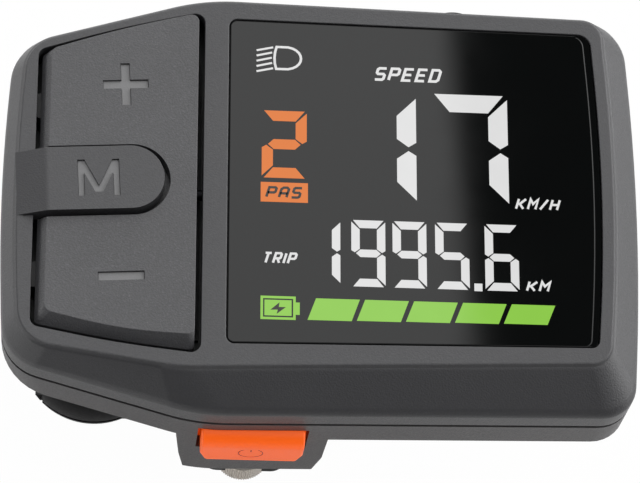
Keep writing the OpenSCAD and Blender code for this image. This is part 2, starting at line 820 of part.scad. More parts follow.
// Centres of the plus, mode and minus switches on the board
mode_stem = [mode_x + mode_stem_x * cos(mode_skew), mode_y + mode_stem_x * sin(mode_skew)];
switch_spots = [[key_x, rocker_y + rocker_arm], mode_stem, [key_x, rocker_y - rocker_arm]];

module key_domes() {
    color(steel_grey) for (spot = switch_spots) {
        post(spot, dome_r, board_top, board_top + dome_h / 2);
        post(spot, dome_r * dome_crown, board_top + dome_h / 2, board_top + dome_h);
    }
}

module key_membrane() {
    color(rubber_black) {
        difference() {
            box([-mat_left, rocker_y - mat_half, board_top], [mat_right, rocker_y + mat_half, mat_top]);
            box([mat_rim - mat_left, rocker_y + mat_rim - mat_half, board_top - over],
                [mat_right - mat_rim, rocker_y + mat_half - mat_rim, mat_top - mat_t]);
        }
        for (spot = switch_spots) post(spot, bump_r, mat_top - skin, mat_top + bump_h);
    }
}

// The rocker's outline, with a narrower gap at its far side
rocker_corners = let (c = inset(keypad_corners, key_gap))
    [c[0], c[1], c[2], c[3] + [0, rocker_lift], c[4] + [0, rocker_lift], c[5]];

// A plus or minus mark, level and centred, from low to high
module stroke(low, high) box([-mark_l / 2, -mark_w / 2, low], [mark_l / 2, mark_w / 2, high]);
module plus_shape(low, high) translate([key_x, rocker_y + mark_shift + rocker_arm, 0]) rotate(mode_skew) {
    stroke(low, high);
    rotate([0, 0, 90]) stroke(low, high);
}
module minus_shape(low, high) translate([key_x, rocker_y + mark_shift - rocker_arm, 0])
    rotate(mode_skew)
        stroke(low, high);

mark_depth = 0.8;
mark_fit = 0.02;

module rocker_key() {
    lug_y = rocker_lug_r;
    left_share = 0.8;
    near_share = 1.2;
    draw_share = 0.85;
    plate_bow = 1;
    plate_bow_r = 60;
    edge = inset(rocker_corners, rocker_edge);
    plate_left = left_share * rocker_bevel + key_gap - keypad_left;
    plate_near = near_share * rocker_bevel + key_gap - keypad_near;
    plate_draw = draw_share * keypad_draw_near;
    far_slope = (edge[4][1] - edge[5][1]) / (edge[4][0] - edge[5][0]);
    plate_corners = [[plate_left, plate_near + plate_draw],
        [(plate_left + edge[2][0]) / 2, plate_near + plate_draw / 2 - plate_bow],
        [edge[2][0], plate_near], edge[3], edge[4],
        [plate_left, edge[5][1] + far_slope * (plate_left - edge[5][0])]];
    right_r = keypad_r - key_gap / 2;
    top_line = rounded(plate_corners, [keypad_r, plate_bow_r, right_r, right_r, keypad_bow_r, keypad_r]);
    hollow_top = rocker_top - rocker_plate;
    bridge_z = rocker_bottom;
    left_edge = key_gap - keypad_left;
    right_edge = keypad_right - key_gap;
    color(cover_grey) {
        difference() {
            union() {
                loft([[rocker_line(0), rocker_bottom],
                    [rocker_line(0), rocker_top - rocker_bevel], [top_line, rocker_top - skin]]);
            }
            // Hollow under the plate, with a wall round the mode key's slot
            difference() {
                slab(rocker_line(rocker_skirt_w), rocker_bottom - over, hollow_top);
                mode_place() tongue(mode_slot + mode_fit + rocker_skirt_w, -over, 0, face_z);
            }
            mode_place() tongue(mode_slot + mode_fit, -mode_root_l - over, rocker_bottom + bridge_t,
                face_z + mode_top);
            mode_place() post([mode_stem_x, 0], mode_hole_r, 0, face_z);
            translate([0, 0, -mark_depth]) {
                plus_shape(rocker_top, rocker_top + over);
                minus_shape(rocker_top, rocker_top + over);
            }
            for (x = [left_edge, right_edge]) along_x(x - over - rocker_lug_w, x + over + rocker_lug_w,
                rocker_pin_r + pin_fit, rocker_y, rocker_pin_z);
        }
        // Lugs that turn on the pins
        for (x = [left_edge + bridge_in, right_edge - bridge_in - rocker_lug_w]) difference() {
            union() {
                along_x(x, x + rocker_lug_w, rocker_lug_r, rocker_y, rocker_pin_z);
                box([x, rocker_y - lug_y, rocker_pin_z],
                    [x + rocker_lug_w, rocker_y + lug_y, bridge_z + bridge_t]);
            }
            along_x(x - over, x + rocker_lug_w + over, rocker_pin_r + pin_fit, rocker_y, rocker_pin_z);
        }
        // Stems over the plus and minus switches
        for (spot = [switch_spots[0], switch_spots[2]])
            post(spot, stem_r, mat_top + bump_h + press_gap, hollow_top + skin);
    }
}

module rocker_pin() {
    left_edge = key_gap - keypad_left;
    right_edge = keypad_right - key_gap;
    color(steel_grey) {
        along_x(left_edge + bridge_in + rocker_lug_w - rocker_pin_l, left_edge + bridge_in + rocker_lug_w,
            rocker_pin_r, rocker_y, rocker_pin_z);
        along_x(right_edge - bridge_in - rocker_lug_w, right_edge - bridge_in - rocker_lug_w + rocker_pin_l,
            rocker_pin_r, rocker_y, rocker_pin_z);
    }
}

module plus_mark() {
    color([0.62, 0.62, 0.62]) intersection() {
        plus_shape(rocker_top - mark_depth, rocker_top - mark_sink);
        translate([0, 0, -mark_fit]) plus_shape(0, rocker_top);
    }
}

module minus_mark() {
    color([0.62, 0.62, 0.62]) minus_shape(rocker_top - mark_depth, rocker_top - mark_sink);
}

// The letter on the mode key, as two legs and a V
module mode_shape(low, high) {
    letter_in = 0.2;
    half_w = 2.9;
    half_h = 2.7;
    leg = 0.8;
    slant = 1;
    dip = 0.55;
    mode_place() translate([mode_stem_x + letter_in, 0, 0]) slab([[-half_w, -half_h],
        [leg - half_w, -half_h], [leg - half_w, half_h - 2 * slant],
        [-dip, dip - half_h], [dip, dip - half_h],
        [half_w - leg, half_h - 2 * slant], [half_w - leg, -half_h], [half_w, -half_h],
        [half_w, half_h], [half_w - slant, half_h], [0, slant + dip - half_h], [slant - half_w, half_h],
        [-half_w, half_h]], low, high);
}

module mode_key() {
    side_points = [[-mode_root_in, face_z - mode_root_t], [-mode_root_in, mode_ramp(-mode_root_in)],
        [mode_ramp_end, mode_top], [mode_round + mode_slot, mode_top],
        [mode_round + mode_slot, mode_top - mode_body], [mode_root_l + over, mode_top - mode_body],
        [mode_root_l, face_z - mode_root_t]];
    color(cover_grey) difference() {
        union() {
            mode_place() intersection() {
                front_slab(side_points, -mode_slot, mode_slot);
                tongue(mode_half, -mode_root_in, 0, mode_top, mode_round - mode_fit);
            }
            mode_place() post([mode_stem_x, 0], stem_r, mat_top + bump_h + mode_press_gap,
                mode_top - mode_body + skin);
        }
        mode_place() along_y(0, -mode_slot, mode_slot, mode_pin_r + pin_fit, face_z - mode_pin_drop);
        translate([0, 0, -mark_depth]) mode_shape(mode_top, mode_top + over);
    }
}

module mode_pin() {
    color(steel_grey) mode_place()
        along_y(0, -mode_slot - mode_pin_l + pin_fit, mode_slot + mode_pin_l - pin_fit, mode_pin_r,
            face_z - mode_pin_drop);
}

module mode_mark() {
    color([0.62, 0.62, 0.62]) mode_shape(mode_top - mark_depth, mode_top - mark_sink);
}

module power_button() {
    front = -boss_front - button_rise;
    back = wall - boss_front + flange_gap + flange_t;
    low_cut = 0.8;
    low_cut_up = 2.6;
    top_cut = 0.5;
    half = button_w / 2;
    color(signal_orange) {
        front_slab([[screw_x - half, button_z - button_h / 2 + low_cut_up],
            [screw_x - half + low_cut, button_z - button_h / 2],
            [screw_x + half - low_cut, button_z - button_h / 2],
            [screw_x + half, button_z - button_h / 2 + low_cut_up],
            [screw_x + half, button_z + button_h / 2 - top_cut],
            [screw_x + half - top_cut, button_z + button_h / 2],
            [screw_x - half + top_cut, button_z + button_h / 2],
            [screw_x - half, button_z + button_h / 2 - top_cut]], front, back);
        box([screw_x - half - flange, back - flange_t, button_z - button_h / 2 - flange],
            [screw_x + half + flange, back, button_z + button_h / 2 + flange]);
        along_y(screw_x, back - skin, -pocket_back - pocket_fit / 2 - power_board_t - dome_h - dome_gap
            - button_travel, stem_r, button_z);
    }
}

module power_board() {
    back = -pocket_back - pocket_fit / 2;
    half = button_w / 2 + flange / 2;
    color(board_green) box([screw_x - half, back - power_board_t, button_z - button_h / 2 - flange],
        [screw_x + half, back, button_z + power_board_up]);
}

module power_dome() {
    front = -pocket_back - pocket_fit / 2 - power_board_t;
    color(steel_grey) {
        along_y(screw_x, front - dome_h / 2, front, dome_r, button_z);
        along_y(screw_x, front - dome_h, front - dome_h / 2, dome_r * dome_crown, button_z);
    }
}

module power_lead() {
    back = -pocket_back - pocket_fit / 2;
    overlap = 3;
    color([0.75, 0.45, 0.1]) box([screw_x - lead_w / 2, back, button_z + power_board_up - overlap],
        [screw_x + lead_w / 2, back + lead_t, board_z]);
}

// A screw that points up, with its head's underside at z
module screw_up(spot, z, r, l, head, head_l, drive) difference() {
    union() {
        post(spot, head, z - head_l, z);
        post(spot, r, z, z + l);
    }
    post(spot, drive, z - head_l - over, z - head_l / 2);
}

module housing_screws() {
    color(steel_grey) for (spot = housing_spots)
        screw_up(spot, floor_z + housing_seat, housing_screw_r, housing_screw_l,
            housing_head_r, housing_head_h, drive_share * housing_screw_r);
}

module clamp_saddle() {
    third = hinge_l / 2 - knuckle_l;
    half = hinge_l / 2;
    boss_box_low = [boss_left - boss_fit, -clamp_r - over, -clamp_r];
    boss_box_high = [boss_right + boss_fit, boss_fit - boss_back, floor_z + over];
    web = [[block_y, web_up], [hinge_y, knuckle_r + hinge_z], [hinge_y, hinge_z],
        [seat_r, hinge_z], [seat_r, web_up]];
    color(clamp_black) difference() {
        union() {
            difference() {
                union() {
                    intersection() {
                        clamp_barrel();
                        box([-clamp_w, -clamp_r - over, -split_drop], [clamp_w, clamp_r + over, floor_z]);
                    }
                    box([clamp_left + block_in, -block_y, block_z],
                        [clamp_w / 2 - block_right_in, block_y, floor_z]);
                }
                bar_cut(seat_r);
                box(boss_box_low, boss_box_high);
                knuckle(-third - knuckle_gap / 2, third + knuckle_gap / 2, knuckle_r + knuckle_gap);
            }
            for (x = [-half, third + knuckle_gap / 2]) {
                knuckle(x, x + half - third - knuckle_gap / 2, knuckle_r);
                difference() {
                    side_slab(web, x, x + half - third - knuckle_gap / 2);
                    bar_cut(seat_r);
                }
            }
        }
        knuckle(-half - over, half + over, hinge_pin_r + pin_press);
        for (spot = saddle_spots) post(spot, saddle_screw_r + thread_press,
            floor_top - saddle_screw_l - floor_t - head_gap, floor_z + over);
    }
}

module saddle_screws() {
    color(steel_grey) for (spot = saddle_spots) difference() {
        union() {
            post(spot, saddle_head_r, floor_top, floor_top + saddle_head_h);
            post(spot, saddle_screw_r, floor_z - saddle_screw_l, floor_top);
        }
        post(spot, drive_share * saddle_screw_r, floor_top + saddle_head_h / 2,
            floor_top + saddle_head_h + over);
    }
}

// The liner's left end runs on in the barrel's curve
module liner_ring() rotate([0, 90, 0]) rotate_extrude()
    polygon([[liner_in, barrel_x - barrel_side(liner_in)], [liner_out, barrel_x - barrel_side(liner_out)],
        [liner_out, clamp_w / 2], [liner_in, clamp_w / 2]]);

module saddle_liner() {
    color(rubber_black) intersection() {
        liner_ring();
        box([-clamp_w, -clamp_r, liner_gap], [clamp_w, clamp_r, clamp_r]);
    }
}

module clamp_jaw() {
    third = hinge_l / 2 - knuckle_l;
    half = hinge_l / 2;
    web = [[seat_r, jaw_z], [hinge_y, hinge_z], [hinge_y, hinge_z - knuckle_r],
        [block_y, jaw_z - web_up - split_gap], [seat_r, jaw_z - web_up - split_gap]];
    ear_corners = [[screw_x - ear_w / 2, -ear_front], [screw_x + ear_w / 2, -ear_front],
        [screw_x + ear_w / 2, -seat_r], [screw_x - ear_w / 2, -seat_r]];
    color(clamp_black) difference() {
        union() {
            difference() {
                intersection() {
                    clamp_barrel();
                    box([-clamp_w, -clamp_r - over, -clamp_r - over], [clamp_w, clamp_r + over, jaw_z]);
                }
                for (x = [-half - knuckle_gap / 2, third - knuckle_gap / 2])
                    knuckle(x, x + half - third + knuckle_gap, knuckle_r + knuckle_gap);
            }
            slab(rounded(ear_corners, [ear_round, ear_round, skin, skin]), ear_z, jaw_z);
            knuckle(-third + knuckle_gap / 2, third - knuckle_gap / 2, knuckle_r);
            side_slab(web, -third + knuckle_gap / 2, third - knuckle_gap / 2);
        }
        bar_cut(seat_r);
        knuckle(-half - over, half + over, hinge_pin_r + pin_fit);
        // Slot for the screw and the pocket for its head
        post([screw_x, -screw_y], screw_r + screw_slot, ear_z - over, jaw_z + over);
        box([screw_x - screw_r - screw_slot, -ear_front - over, ear_z - over],
            [screw_x + screw_r + screw_slot, -screw_y, jaw_z + over]);
        post([screw_x, -screw_y], screw_head_r + head_room, -clamp_r, ear_z);
    }
}

module jaw_liner() {
    color(rubber_black) intersection() {
        liner_ring();
        box([-clamp_w, -clamp_r, -clamp_r], [clamp_w, clamp_r, jaw_z]);
    }
}

module hinge_pin() {
    half = hinge_l / 2 + pin_stand;
    color(steel_grey) translate([0, hinge_y, hinge_z]) rotate([0, 90, 0]) rotate_extrude()
        polygon([[0, -half], [hinge_pin_r - pin_chamfer, -half], [hinge_pin_r, pin_chamfer - half],
            [hinge_pin_r, half - pin_chamfer], [hinge_pin_r - pin_chamfer, half], [0, half]]);
}

module clamp_screw() {
    color(steel_grey) translate([screw_x, -screw_y, 0]) difference() {
        rotate_extrude() polygon([[0, head_z - screw_head_h],
            [screw_head_r - head_chamfer, head_z - screw_head_h],
            [screw_head_r, head_z - screw_head_h + head_chamfer],
            [screw_head_r, head_z - head_chamfer], [screw_head_r - head_chamfer, head_z],
            [screw_r, head_z], [screw_r, screw_top - head_chamfer],
            [screw_r - head_chamfer, screw_top], [0, screw_top]]);
        translate([0, 0, head_z - screw_head_h - over])
            cylinder(r = screw_hex / sqrt(3), h = socket_depth + over, $fn = 6);
    }
}

module thread_insert() {
    groove_d = 0.3;
    low = insert_sink - split_drop;
    band = insert_l / 5;
    color(brass_yellow) translate([screw_x, -screw_y, low]) rotate_extrude()
        polygon([[screw_r + thread_fit, 0], [insert_r, 0], [insert_r, band], [insert_r - groove_d, band],
            [insert_r - groove_d, 2 * band], [insert_r, 2 * band], [insert_r, 3 * band],
            [insert_r - groove_d, 3 * band], [insert_r - groove_d, 4 * band], [insert_r, 4 * band],
            [insert_r, 5 * band], [screw_r + thread_fit, 5 * band]]);
}

module cable_gland() {
    back = far_edge(gland_x) - wall;
    front = far_edge(gland_x) + gland_out;
    color(rubber_black) difference() {
        union() {
            along_y(gland_x, back, front, gland_r, gland_z);
            along_y(gland_x, far_edge(gland_x) + gland_rib, far_edge(gland_x) + 3 * gland_rib,
                gland_r + gland_rib, gland_z);
        }
        along_y(gland_x, back - over, front + over, cable_r, gland_z);
    }
}

front_cover();
rear_cover();
housing_seal();
display_window();
window_adhesive();
lcd_panel();
lcd_frame();
lcd_flex();
flex_socket();
circuit_board();
board_chips();
cable_socket();
board_screws();
key_domes();
key_membrane();
rocker_key();
rocker_pin();
plus_mark();
minus_mark();
mode_key();
mode_pin();
mode_mark();
power_button();
power_board();
power_dome();
power_lead();
housing_screws();
clamp_saddle();
saddle_screws();
saddle_liner();
clamp_jaw();
jaw_liner();
hinge_pin();
clamp_screw();
thread_insert();
cable_gland();
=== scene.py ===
import math

import bmesh
import bpy
from mathutils import Matrix, Vector


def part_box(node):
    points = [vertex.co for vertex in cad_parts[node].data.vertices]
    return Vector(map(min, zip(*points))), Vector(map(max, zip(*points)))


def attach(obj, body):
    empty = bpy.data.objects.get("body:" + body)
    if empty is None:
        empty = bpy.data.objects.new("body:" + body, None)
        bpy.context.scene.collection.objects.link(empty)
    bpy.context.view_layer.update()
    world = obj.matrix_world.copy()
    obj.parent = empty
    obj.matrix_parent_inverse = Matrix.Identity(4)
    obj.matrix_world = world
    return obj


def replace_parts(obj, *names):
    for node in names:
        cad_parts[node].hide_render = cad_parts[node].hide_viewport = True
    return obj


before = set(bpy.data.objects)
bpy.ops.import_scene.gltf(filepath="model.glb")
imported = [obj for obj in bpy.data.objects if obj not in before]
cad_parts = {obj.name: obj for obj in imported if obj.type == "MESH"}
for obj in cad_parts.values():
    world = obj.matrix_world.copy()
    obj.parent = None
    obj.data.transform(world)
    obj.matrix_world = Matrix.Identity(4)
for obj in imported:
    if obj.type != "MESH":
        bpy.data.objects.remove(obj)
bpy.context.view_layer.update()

# All sizes are in millimetres. The origin is the middle of the clamp's bore, x runs right along
# the bar, y away from the rider and z out of the screen.
MM = 0.001

# Heights, depths and the wall, the same as the solids have
PARTING = 19.4
LIP = 24.0
FACE = 28.4
ROOF = 26.6
LEDGE = 26.8
WINDOW_LOW = 27.0
WINDOW_TOP = 28.3
SLOT_FLOOR = 26.2
BOARD_TOP = 21.8
ROCKER_TOP = 29.1
ROCKER_LOW = 25.4
ROCKER_HOLLOW = 27.2
ROCKER_PIN = 24.6
MODE_TOP = 30.1
MODE_BODY = 2.7
MODE_PIN = 27.4
MARK_DEPTH = 0.8
WALL = 1.8
# The front cover starts over the parting line, so that the seam shows as a dark line
SEAM = 0.6
SHELL_LOW = PARTING + SEAM
# The step round the face
STEP = 0.5
STEP_WIDE = 0.35

# Outlines from above, as corners and their radii, with this many steps to each rounded corner
ARC = 10
CASE_CORNERS = [(-25.0, -14.6), (2.5, -22.2), (64.5, -20.9), (66.5, 9.6), (64.5, 40.4),
                (2.5, 41.4), (-25.0, 33.1), (-26.6, 9.25)]
CASE_RADII = [7, 30, 5.2, 340, 6.5, 30, 7, 262]
FACE_CORNERS = [(-22.9, -13.4), (-0.5, -16.7), (60.4, -14.5), (62.4, 9.6), (60.4, 38.7),
                (2.5, 39.7), (-22.9, 31.9), (-24.5, 9.25)]
FACE_RADII = [5.5, 30, 3, 265, 3, 30, 5.5, 250]
SCREEN_CORNERS = [(6, -13.1), (58.8, -12.2), (60.6, 9.6), (58.8, 36.45), (6, 36.95)]
SCREEN_RADII = [1.2, 1.2, 266, 2, 1.2]
KEYPAD_CORNERS = [(-21.4, -11.2), (-9.45, -13.45), (2.5, -14.7), (2.5, 37.9), (-9.45, 34.9),
                  (-21.4, 30.9)]
KEYPAD_RADII = [1.4, 150, 1.4, 1.4, 150, 1.4]
PLATE_RADII = [1.4, 60, 1.1, 1.1, 150, 1.4]

# The rocker's gap in the opening and its wall. It reaches a little into the gap at its far side,
# and draws back a little at its right side.
KEY_GAP = 0.6
KEY_WALL = 1.3
ROCKER_LIFT = 0.3
ROCKER_DRAW = 0.25
# It tilts at this y, with a switch under a stem on each side of the pin
ROCKER_Y = 10.6
SWITCH_ARM = 14.7
KEY_X = -8.8
STEM_R = 1.2

# The mode key is drawn from its left end, along a centre line that starts here, turned a little
MODE_ORIGIN = (-22.5, 10.0)
MODE_SKEW = math.radians(3.5)
MODE_SLOT = 5.1
MODE_HALF = 4.8
MODE_GAP = 0.3
MODE_END = 15.0
MODE_STEM = (10, 0)
RAMP_END, RAMP_DROP, RAMP_LONG = 2.9, 1.85, 4.8

# Marks on the keys, with room round each inlay
MARK_ROOM = 0.06
BAR_LONG, BAR_WIDE = 6.4, 1.2
LETTER_X = 10.2

# Screw posts. The first two of the cover's stand low beside the left wall, on a web.
COVER_POSTS = [(-20.5, 23.6), (-20.5, -2.4), (28, 37.1), (28, -15.75), (60.7, 9.6)]
SIDE_POSTS = 2
SIDE_POST_HIGH = 5
BOARD_POSTS = [(4.8, 30.0), (4.8, -8.0), (60.2, 33.0), (60.2, -9.5)]

# Middle of the boss, with the power button and the clamp screw
BOSS_X = 10.8
SCREW_Y = -16.3
BUTTON_FRONT = -23.98

# Lit shapes stand a hair out of the glass
GLYPH_LOW, GLYPH_HIGH = 28.29, 28.312


# Small helpers

def linear(code):
    """An sRGB hex colour as linear RGBA."""
    parts = [int(code[i:i + 2], 16) / 255 for i in (1, 3, 5)]
    return [p / 12.92 if p <= 0.04045 else ((p + 0.055) / 1.055) ** 2.4 for p in parts] + [1.0]


def add(tree, kind, inputs=None, **settings):
    """Adds one node, sets its properties, and fills or links its inputs."""
    made = tree.nodes.new(kind)
    for name, value in settings.items():
        setattr(made, name, value)
    for name, value in (inputs or {}).items():
        if isinstance(value, bpy.types.NodeSocket):
            tree.links.new(value, made.inputs[name])
        else:
            made.inputs[name].default_value = value
    return made


# Outlines

def corner_arc(a, b, c, radius):
    """Points of an arc of this radius that rounds corner b between a and c."""
    a, b, c = Vector(a), Vector(b), Vector(c)
    to_a, to_c = (a - b).normalized(), (c - b).normalized()
    half = to_a.angle(to_c) / 2
    centre = b + (to_a + to_c).normalized() * radius / math.sin(half)
    start = b + to_a * radius / math.tan(half) - centre
    end = b + to_c * radius / math.tan(half) - centre
    sweep = math.atan2(end.y, end.x) - math.atan2(start.y, start.x)
    sweep = (sweep + math.pi) % (2 * math.pi) - math.pi
    return [tuple(centre + Matrix.Rotation(sweep * i / ARC, 2) @ start) for i in range(ARC + 1)]


def inset(corners, distance):
    """The corners of an outline moved inwards."""
    moved = []
    for i, corner in enumerate(corners):
        b = Vector(corner)
        to_a = (Vector(corners[i - 1]) - b).normalized()
        to_c = (Vector(corners[(i + 1) % len(corners)]) - b).normalized()
        half = to_a.angle(to_c) / 2
        moved.append(tuple(b + (to_a + to_c).normalized() * distance / math.sin(half)))
    return moved


def rounded(corners, radii, distance):
    """A rounded outline, moved inwards by a distance."""
    corners = inset(corners, distance)
    points = []
    for i, corner in enumerate(corners):
        radius = max(radii[i] - distance, 0.05)
        points += corner_arc(corners[i - 1], corner, corners[(i + 1) % len(corners)], radius)
    return points


def case_line(distance=0.0):
    return rounded(CASE_CORNERS, CASE_RADII, distance)


def face_line(distance):
    return rounded(FACE_CORNERS, FACE_RADII, distance)


def screen_line(distance):
    return rounded(SCREEN_CORNERS, SCREEN_RADII, distance)


def keypad_line(distance):
    return rounded(KEYPAD_CORNERS, KEYPAD_RADII, distance)


def rocker_corners():
    """The corners of the rocker: the opening less its gap, which narrows along the far side."""
    corners = inset(KEYPAD_CORNERS, KEY_GAP)
    return [(x - (ROCKER_DRAW if i in (2, 3) else 0), y + (ROCKER_LIFT if i in (3, 4) else 0))
            for i, (x, y) in enumerate(corners)]


def rocker_line(distance=0.0):
    return rounded(rocker_corners(), [r - KEY_GAP for r in KEYPAD_RADII], distance)


def plate_line(distance=0.0):
    """The flat top of the rocker: wide bevels at the left and near sides, none at the others."""
    edge = inset(rocker_corners(), 0.05)
    left, near, draw, bow = -19.52, -12.18, 2.98, 1.0
    right = edge[2][0]
    slope = (edge[4][1] - edge[5][1]) / (edge[4][0] - edge[5][0])
    corners = [(left, near + draw), ((left + right) / 2, near + draw / 2 - bow), (right, near),
               edge[3], edge[4], (left, edge[5][1] + slope * (left - edge[5][0]))]
    return rounded(corners, PLATE_RADII, distance)


def between(first, second, share):
    """The outline a share of the way from the first to the second."""
    return [tuple(Vector(a).lerp(Vector(b), share)) for a, b in zip(first, second)]


def circle(radius, sides, centre=(0, 0)):
    """Points of a circle."""
    return [(centre[0] + radius * math.cos(2 * math.pi * i / sides),
             centre[1] + radius * math.sin(2 * math.pi * i / sides)) for i in range(sides)]


def tongue_line(half, left, end=MODE_END):
    """The mode key's outline from above: straight sides and a round right end."""
    turns = [-math.pi / 2 + math.pi * i / 32 for i in range(33)]
    arc = [(end + half * math.cos(t), half * math.sin(t)) for t in turns]
    return [(left, -half)] + arc + [(left, half)]


# Bodies

def ring(bm, outline, height):
    """A closed loop of edges along an outline."""
    verts = [bm.verts.new((x * MM, y * MM, height * MM)) for x, y in outline]
    return [bm.edges.new((verts[i - 1], verts[i])) for i in range(len(verts))]


def stack(levels):
    """A closed body bridged from outline to outline at their heights, with flat ends."""
    bm = bmesh.new()
    loops = [ring(bm, outline, height) for outline, height in levels]
    for low, high in zip(loops, loops[1:]):
        bmesh.ops.bridge_loops(bm, edges=low + high)
    bmesh.ops.contextual_create(bm, geom=loops[0])
    bmesh.ops.contextual_create(bm, geom=loops[-1])
    return bm


def prism(outline, low, high):
    """An upright block over an outline."""
    return stack([(outline, low), (outline, high)])


def post(spot, radius, low, high, sides=32):
    return prism(circle(radius, sides, spot), low, high)


def block(low, high):
    """A block between two corners."""
    (x0, y0, z0), (x1, y1, z1) = low, high
    return prism([(x0, y0), (x1, y0), (x1, y1), (x0, y1)], z0, z1)


def pin(axis, centre, radius, start, end):
    """A round bar along x or y, from start to end, round a centre given by its other two places."""
    bm = prism(circle(radius, 32), start, end)
    if axis == "x":
        turn = Matrix(((0, 0, 1), (1, 0, 0), (0, 1, 0))).to_4x4()
        move = Matrix.Translation((0, centre[0] * MM, centre[1] * MM))
    else:
        turn = Matrix(((0, 1, 0), (0, 0, 1), (1, 0, 0))).to_4x4()
        move = Matrix.Translation((centre[0] * MM, 0, centre[1] * MM))
    bmesh.ops.transform(bm, matrix=move @ turn, verts=bm.verts)
    return bm


def extrude(bm, corners, way):
    """A flat face through these points, extruded by a vector."""
    face = bm.faces.new([bm.verts.new([place * MM for place in corner]) for corner in corners])
    grown = bmesh.ops.extrude_face_region(bm, geom=[face])
    bmesh.ops.translate(bm, vec=[place * MM for place in way],
                        verts=[v for v in grown["geom"] if isinstance(v, bmesh.types.BMVert)])


def mode_place(bm):
    """Moves a mesh drawn from the mode key's left end into place."""
    place = Matrix.Translation((MODE_ORIGIN[0] * MM, MODE_ORIGIN[1] * MM, 0))
    bmesh.ops.transform(bm, matrix=place @ Matrix.Rotation(MODE_SKEW, 4, "Z"), verts=bm.verts)
    return bm


def to_object(bm, name):
    """A mesh object from a bmesh, with its doubles merged and its faces pointing outwards."""
    bmesh.ops.remove_doubles(bm, verts=bm.verts, dist=1e-7)
    bmesh.ops.recalc_face_normals(bm, faces=bm.faces)
    mesh = bpy.data.meshes.new(name)
    bm.to_mesh(mesh)
    bm.free()
    made = bpy.data.objects.new(name, mesh)
    bpy.context.scene.collection.objects.link(made)
    return made


def less(*bodies):
    """Steps of carve that take bodies away."""
    return [("DIFFERENCE", body) for body in bodies]


def plus(*bodies):
    """Steps of carve that add bodies."""
    return [("UNION", body) for body in bodies]


def carve(bm, steps):
    """The body after each step in turn: a pair of the kind of step and the other body."""
    target = to_object(bm, "blank")
    tools = []
    for kind, other in steps:
        tools.append(to_object(other, "tool"))
        step = target.modifiers.new(kind, "BOOLEAN")
        step.operation, step.solver, step.object = kind, "EXACT", tools[-1]
    bpy.context.view_layer.update()
    graph = bpy.context.evaluated_depsgraph_get()
    result = bmesh.new()
    result.from_mesh(target.evaluated_get(graph).to_mesh())
    for extra in [target] + tools:
        bpy.data.meshes.remove(extra.data)
    return result


def piece(bm, name, material, body, sharp=None, bevel=None):
    """Turns a bmesh into a finished piece that rides on a body.

    Its edges over the angle sharp stay sharp, or bevel gives a width and the angle over which
    edges are rounded.
    """
    made = to_object(bm, name)
    made.data.materials.append(material)
    made.data.shade_smooth()
    if bevel:
        width, angle = bevel
        rounding = made.modifiers.new("rounded edges", "BEVEL")
        rounding.width = width * MM
        rounding.segments = 2
        rounding.limit_method = "ANGLE"
        rounding.angle_limit = math.radians(angle)
        rounding.use_clamp_overlap = True
        rounding.miter_outer = "MITER_ARC"
    else:
        made.data.set_sharp_from_angle(angle=math.radians(sharp))
    shading = made.modifiers.new("even shading", "WEIGHTED_NORMAL")
    shading.keep_sharp = True
    shading.weight = 60
    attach(made, body)
    return made


# Materials

def shader(name):
    made = bpy.data.materials.new(name)
    made.use_nodes = True
    return made, made.node_tree, made.node_tree.nodes["Principled BSDF"]


def moulded(name, colour, roughness, grain, depth, patch=0.08, painted_glint=0.0, specular=0.5):
    """Moulded plastic or rubber: faint clouds, a grain as coarse as the mould's, and rare painted
    glints: brighter specks in the colour.
    """
    made, tree, surface = shader(name)
    place = add(tree, "ShaderNodeTexCoord").outputs["Object"]
    clouds = add(tree, "ShaderNodeTexNoise", {"Vector": place, "Scale": 90.0, "Detail": 3.0})
    speck = add(tree, "ShaderNodeTexNoise", {"Vector": place, "Scale": 1 / (grain * MM),
                                             "Detail": 2.0}).outputs["Fac"]
    spread = add(tree, "ShaderNodeMapRange", {"Value": speck, "From Min": 0.3, "From Max": 0.7})
    both = add(tree, "ShaderNodeMath", {0: clouds.outputs["Fac"], 1: spread.outputs["Result"]},
               operation="ADD")
    # Painted glints: the rarest specks of the grain are lifted in colour, as highlights would be
    flash = add(tree, "ShaderNodeMapRange", {"Value": speck, "From Min": 0.66, "From Max": 0.72,
                                             "To Max": painted_glint})
    total = add(tree, "ShaderNodeMath", {0: both.outputs[0], 1: flash.outputs["Result"]},
                operation="ADD")
    half = add(tree, "ShaderNodeMath", {0: total.outputs[0], 1: 0.5}, operation="MULTIPLY")
    tint = linear(colour)
    mix = add(tree, "ShaderNodeMix", {0: half.outputs[0]}, data_type="RGBA", clamp_factor=False)
    mix.inputs[6].default_value = [c * (1 - patch) for c in tint[:3]] + [1.0]
    mix.inputs[7].default_value = [c * (1 + patch) for c in tint[:3]] + [1.0]
    tree.links.new(mix.outputs[2], surface.inputs["Base Color"])
    dull = add(tree, "ShaderNodeMapRange", {"Value": speck, "From Min": 0.3, "From Max": 0.7,
                                            "To Min": roughness + 0.05, "To Max": roughness - 0.05})
    tree.links.new(dull.outputs["Result"], surface.inputs["Roughness"])
    bump = add(tree, "ShaderNodeBump", {"Height": speck, "Strength": depth, "Distance": grain * MM})
    tree.links.new(bump.outputs["Normal"], surface.inputs["Normal"])
    surface.inputs["IOR"].default_value = 1.5
    surface.inputs["Specular IOR Level"].default_value = specular
    return made


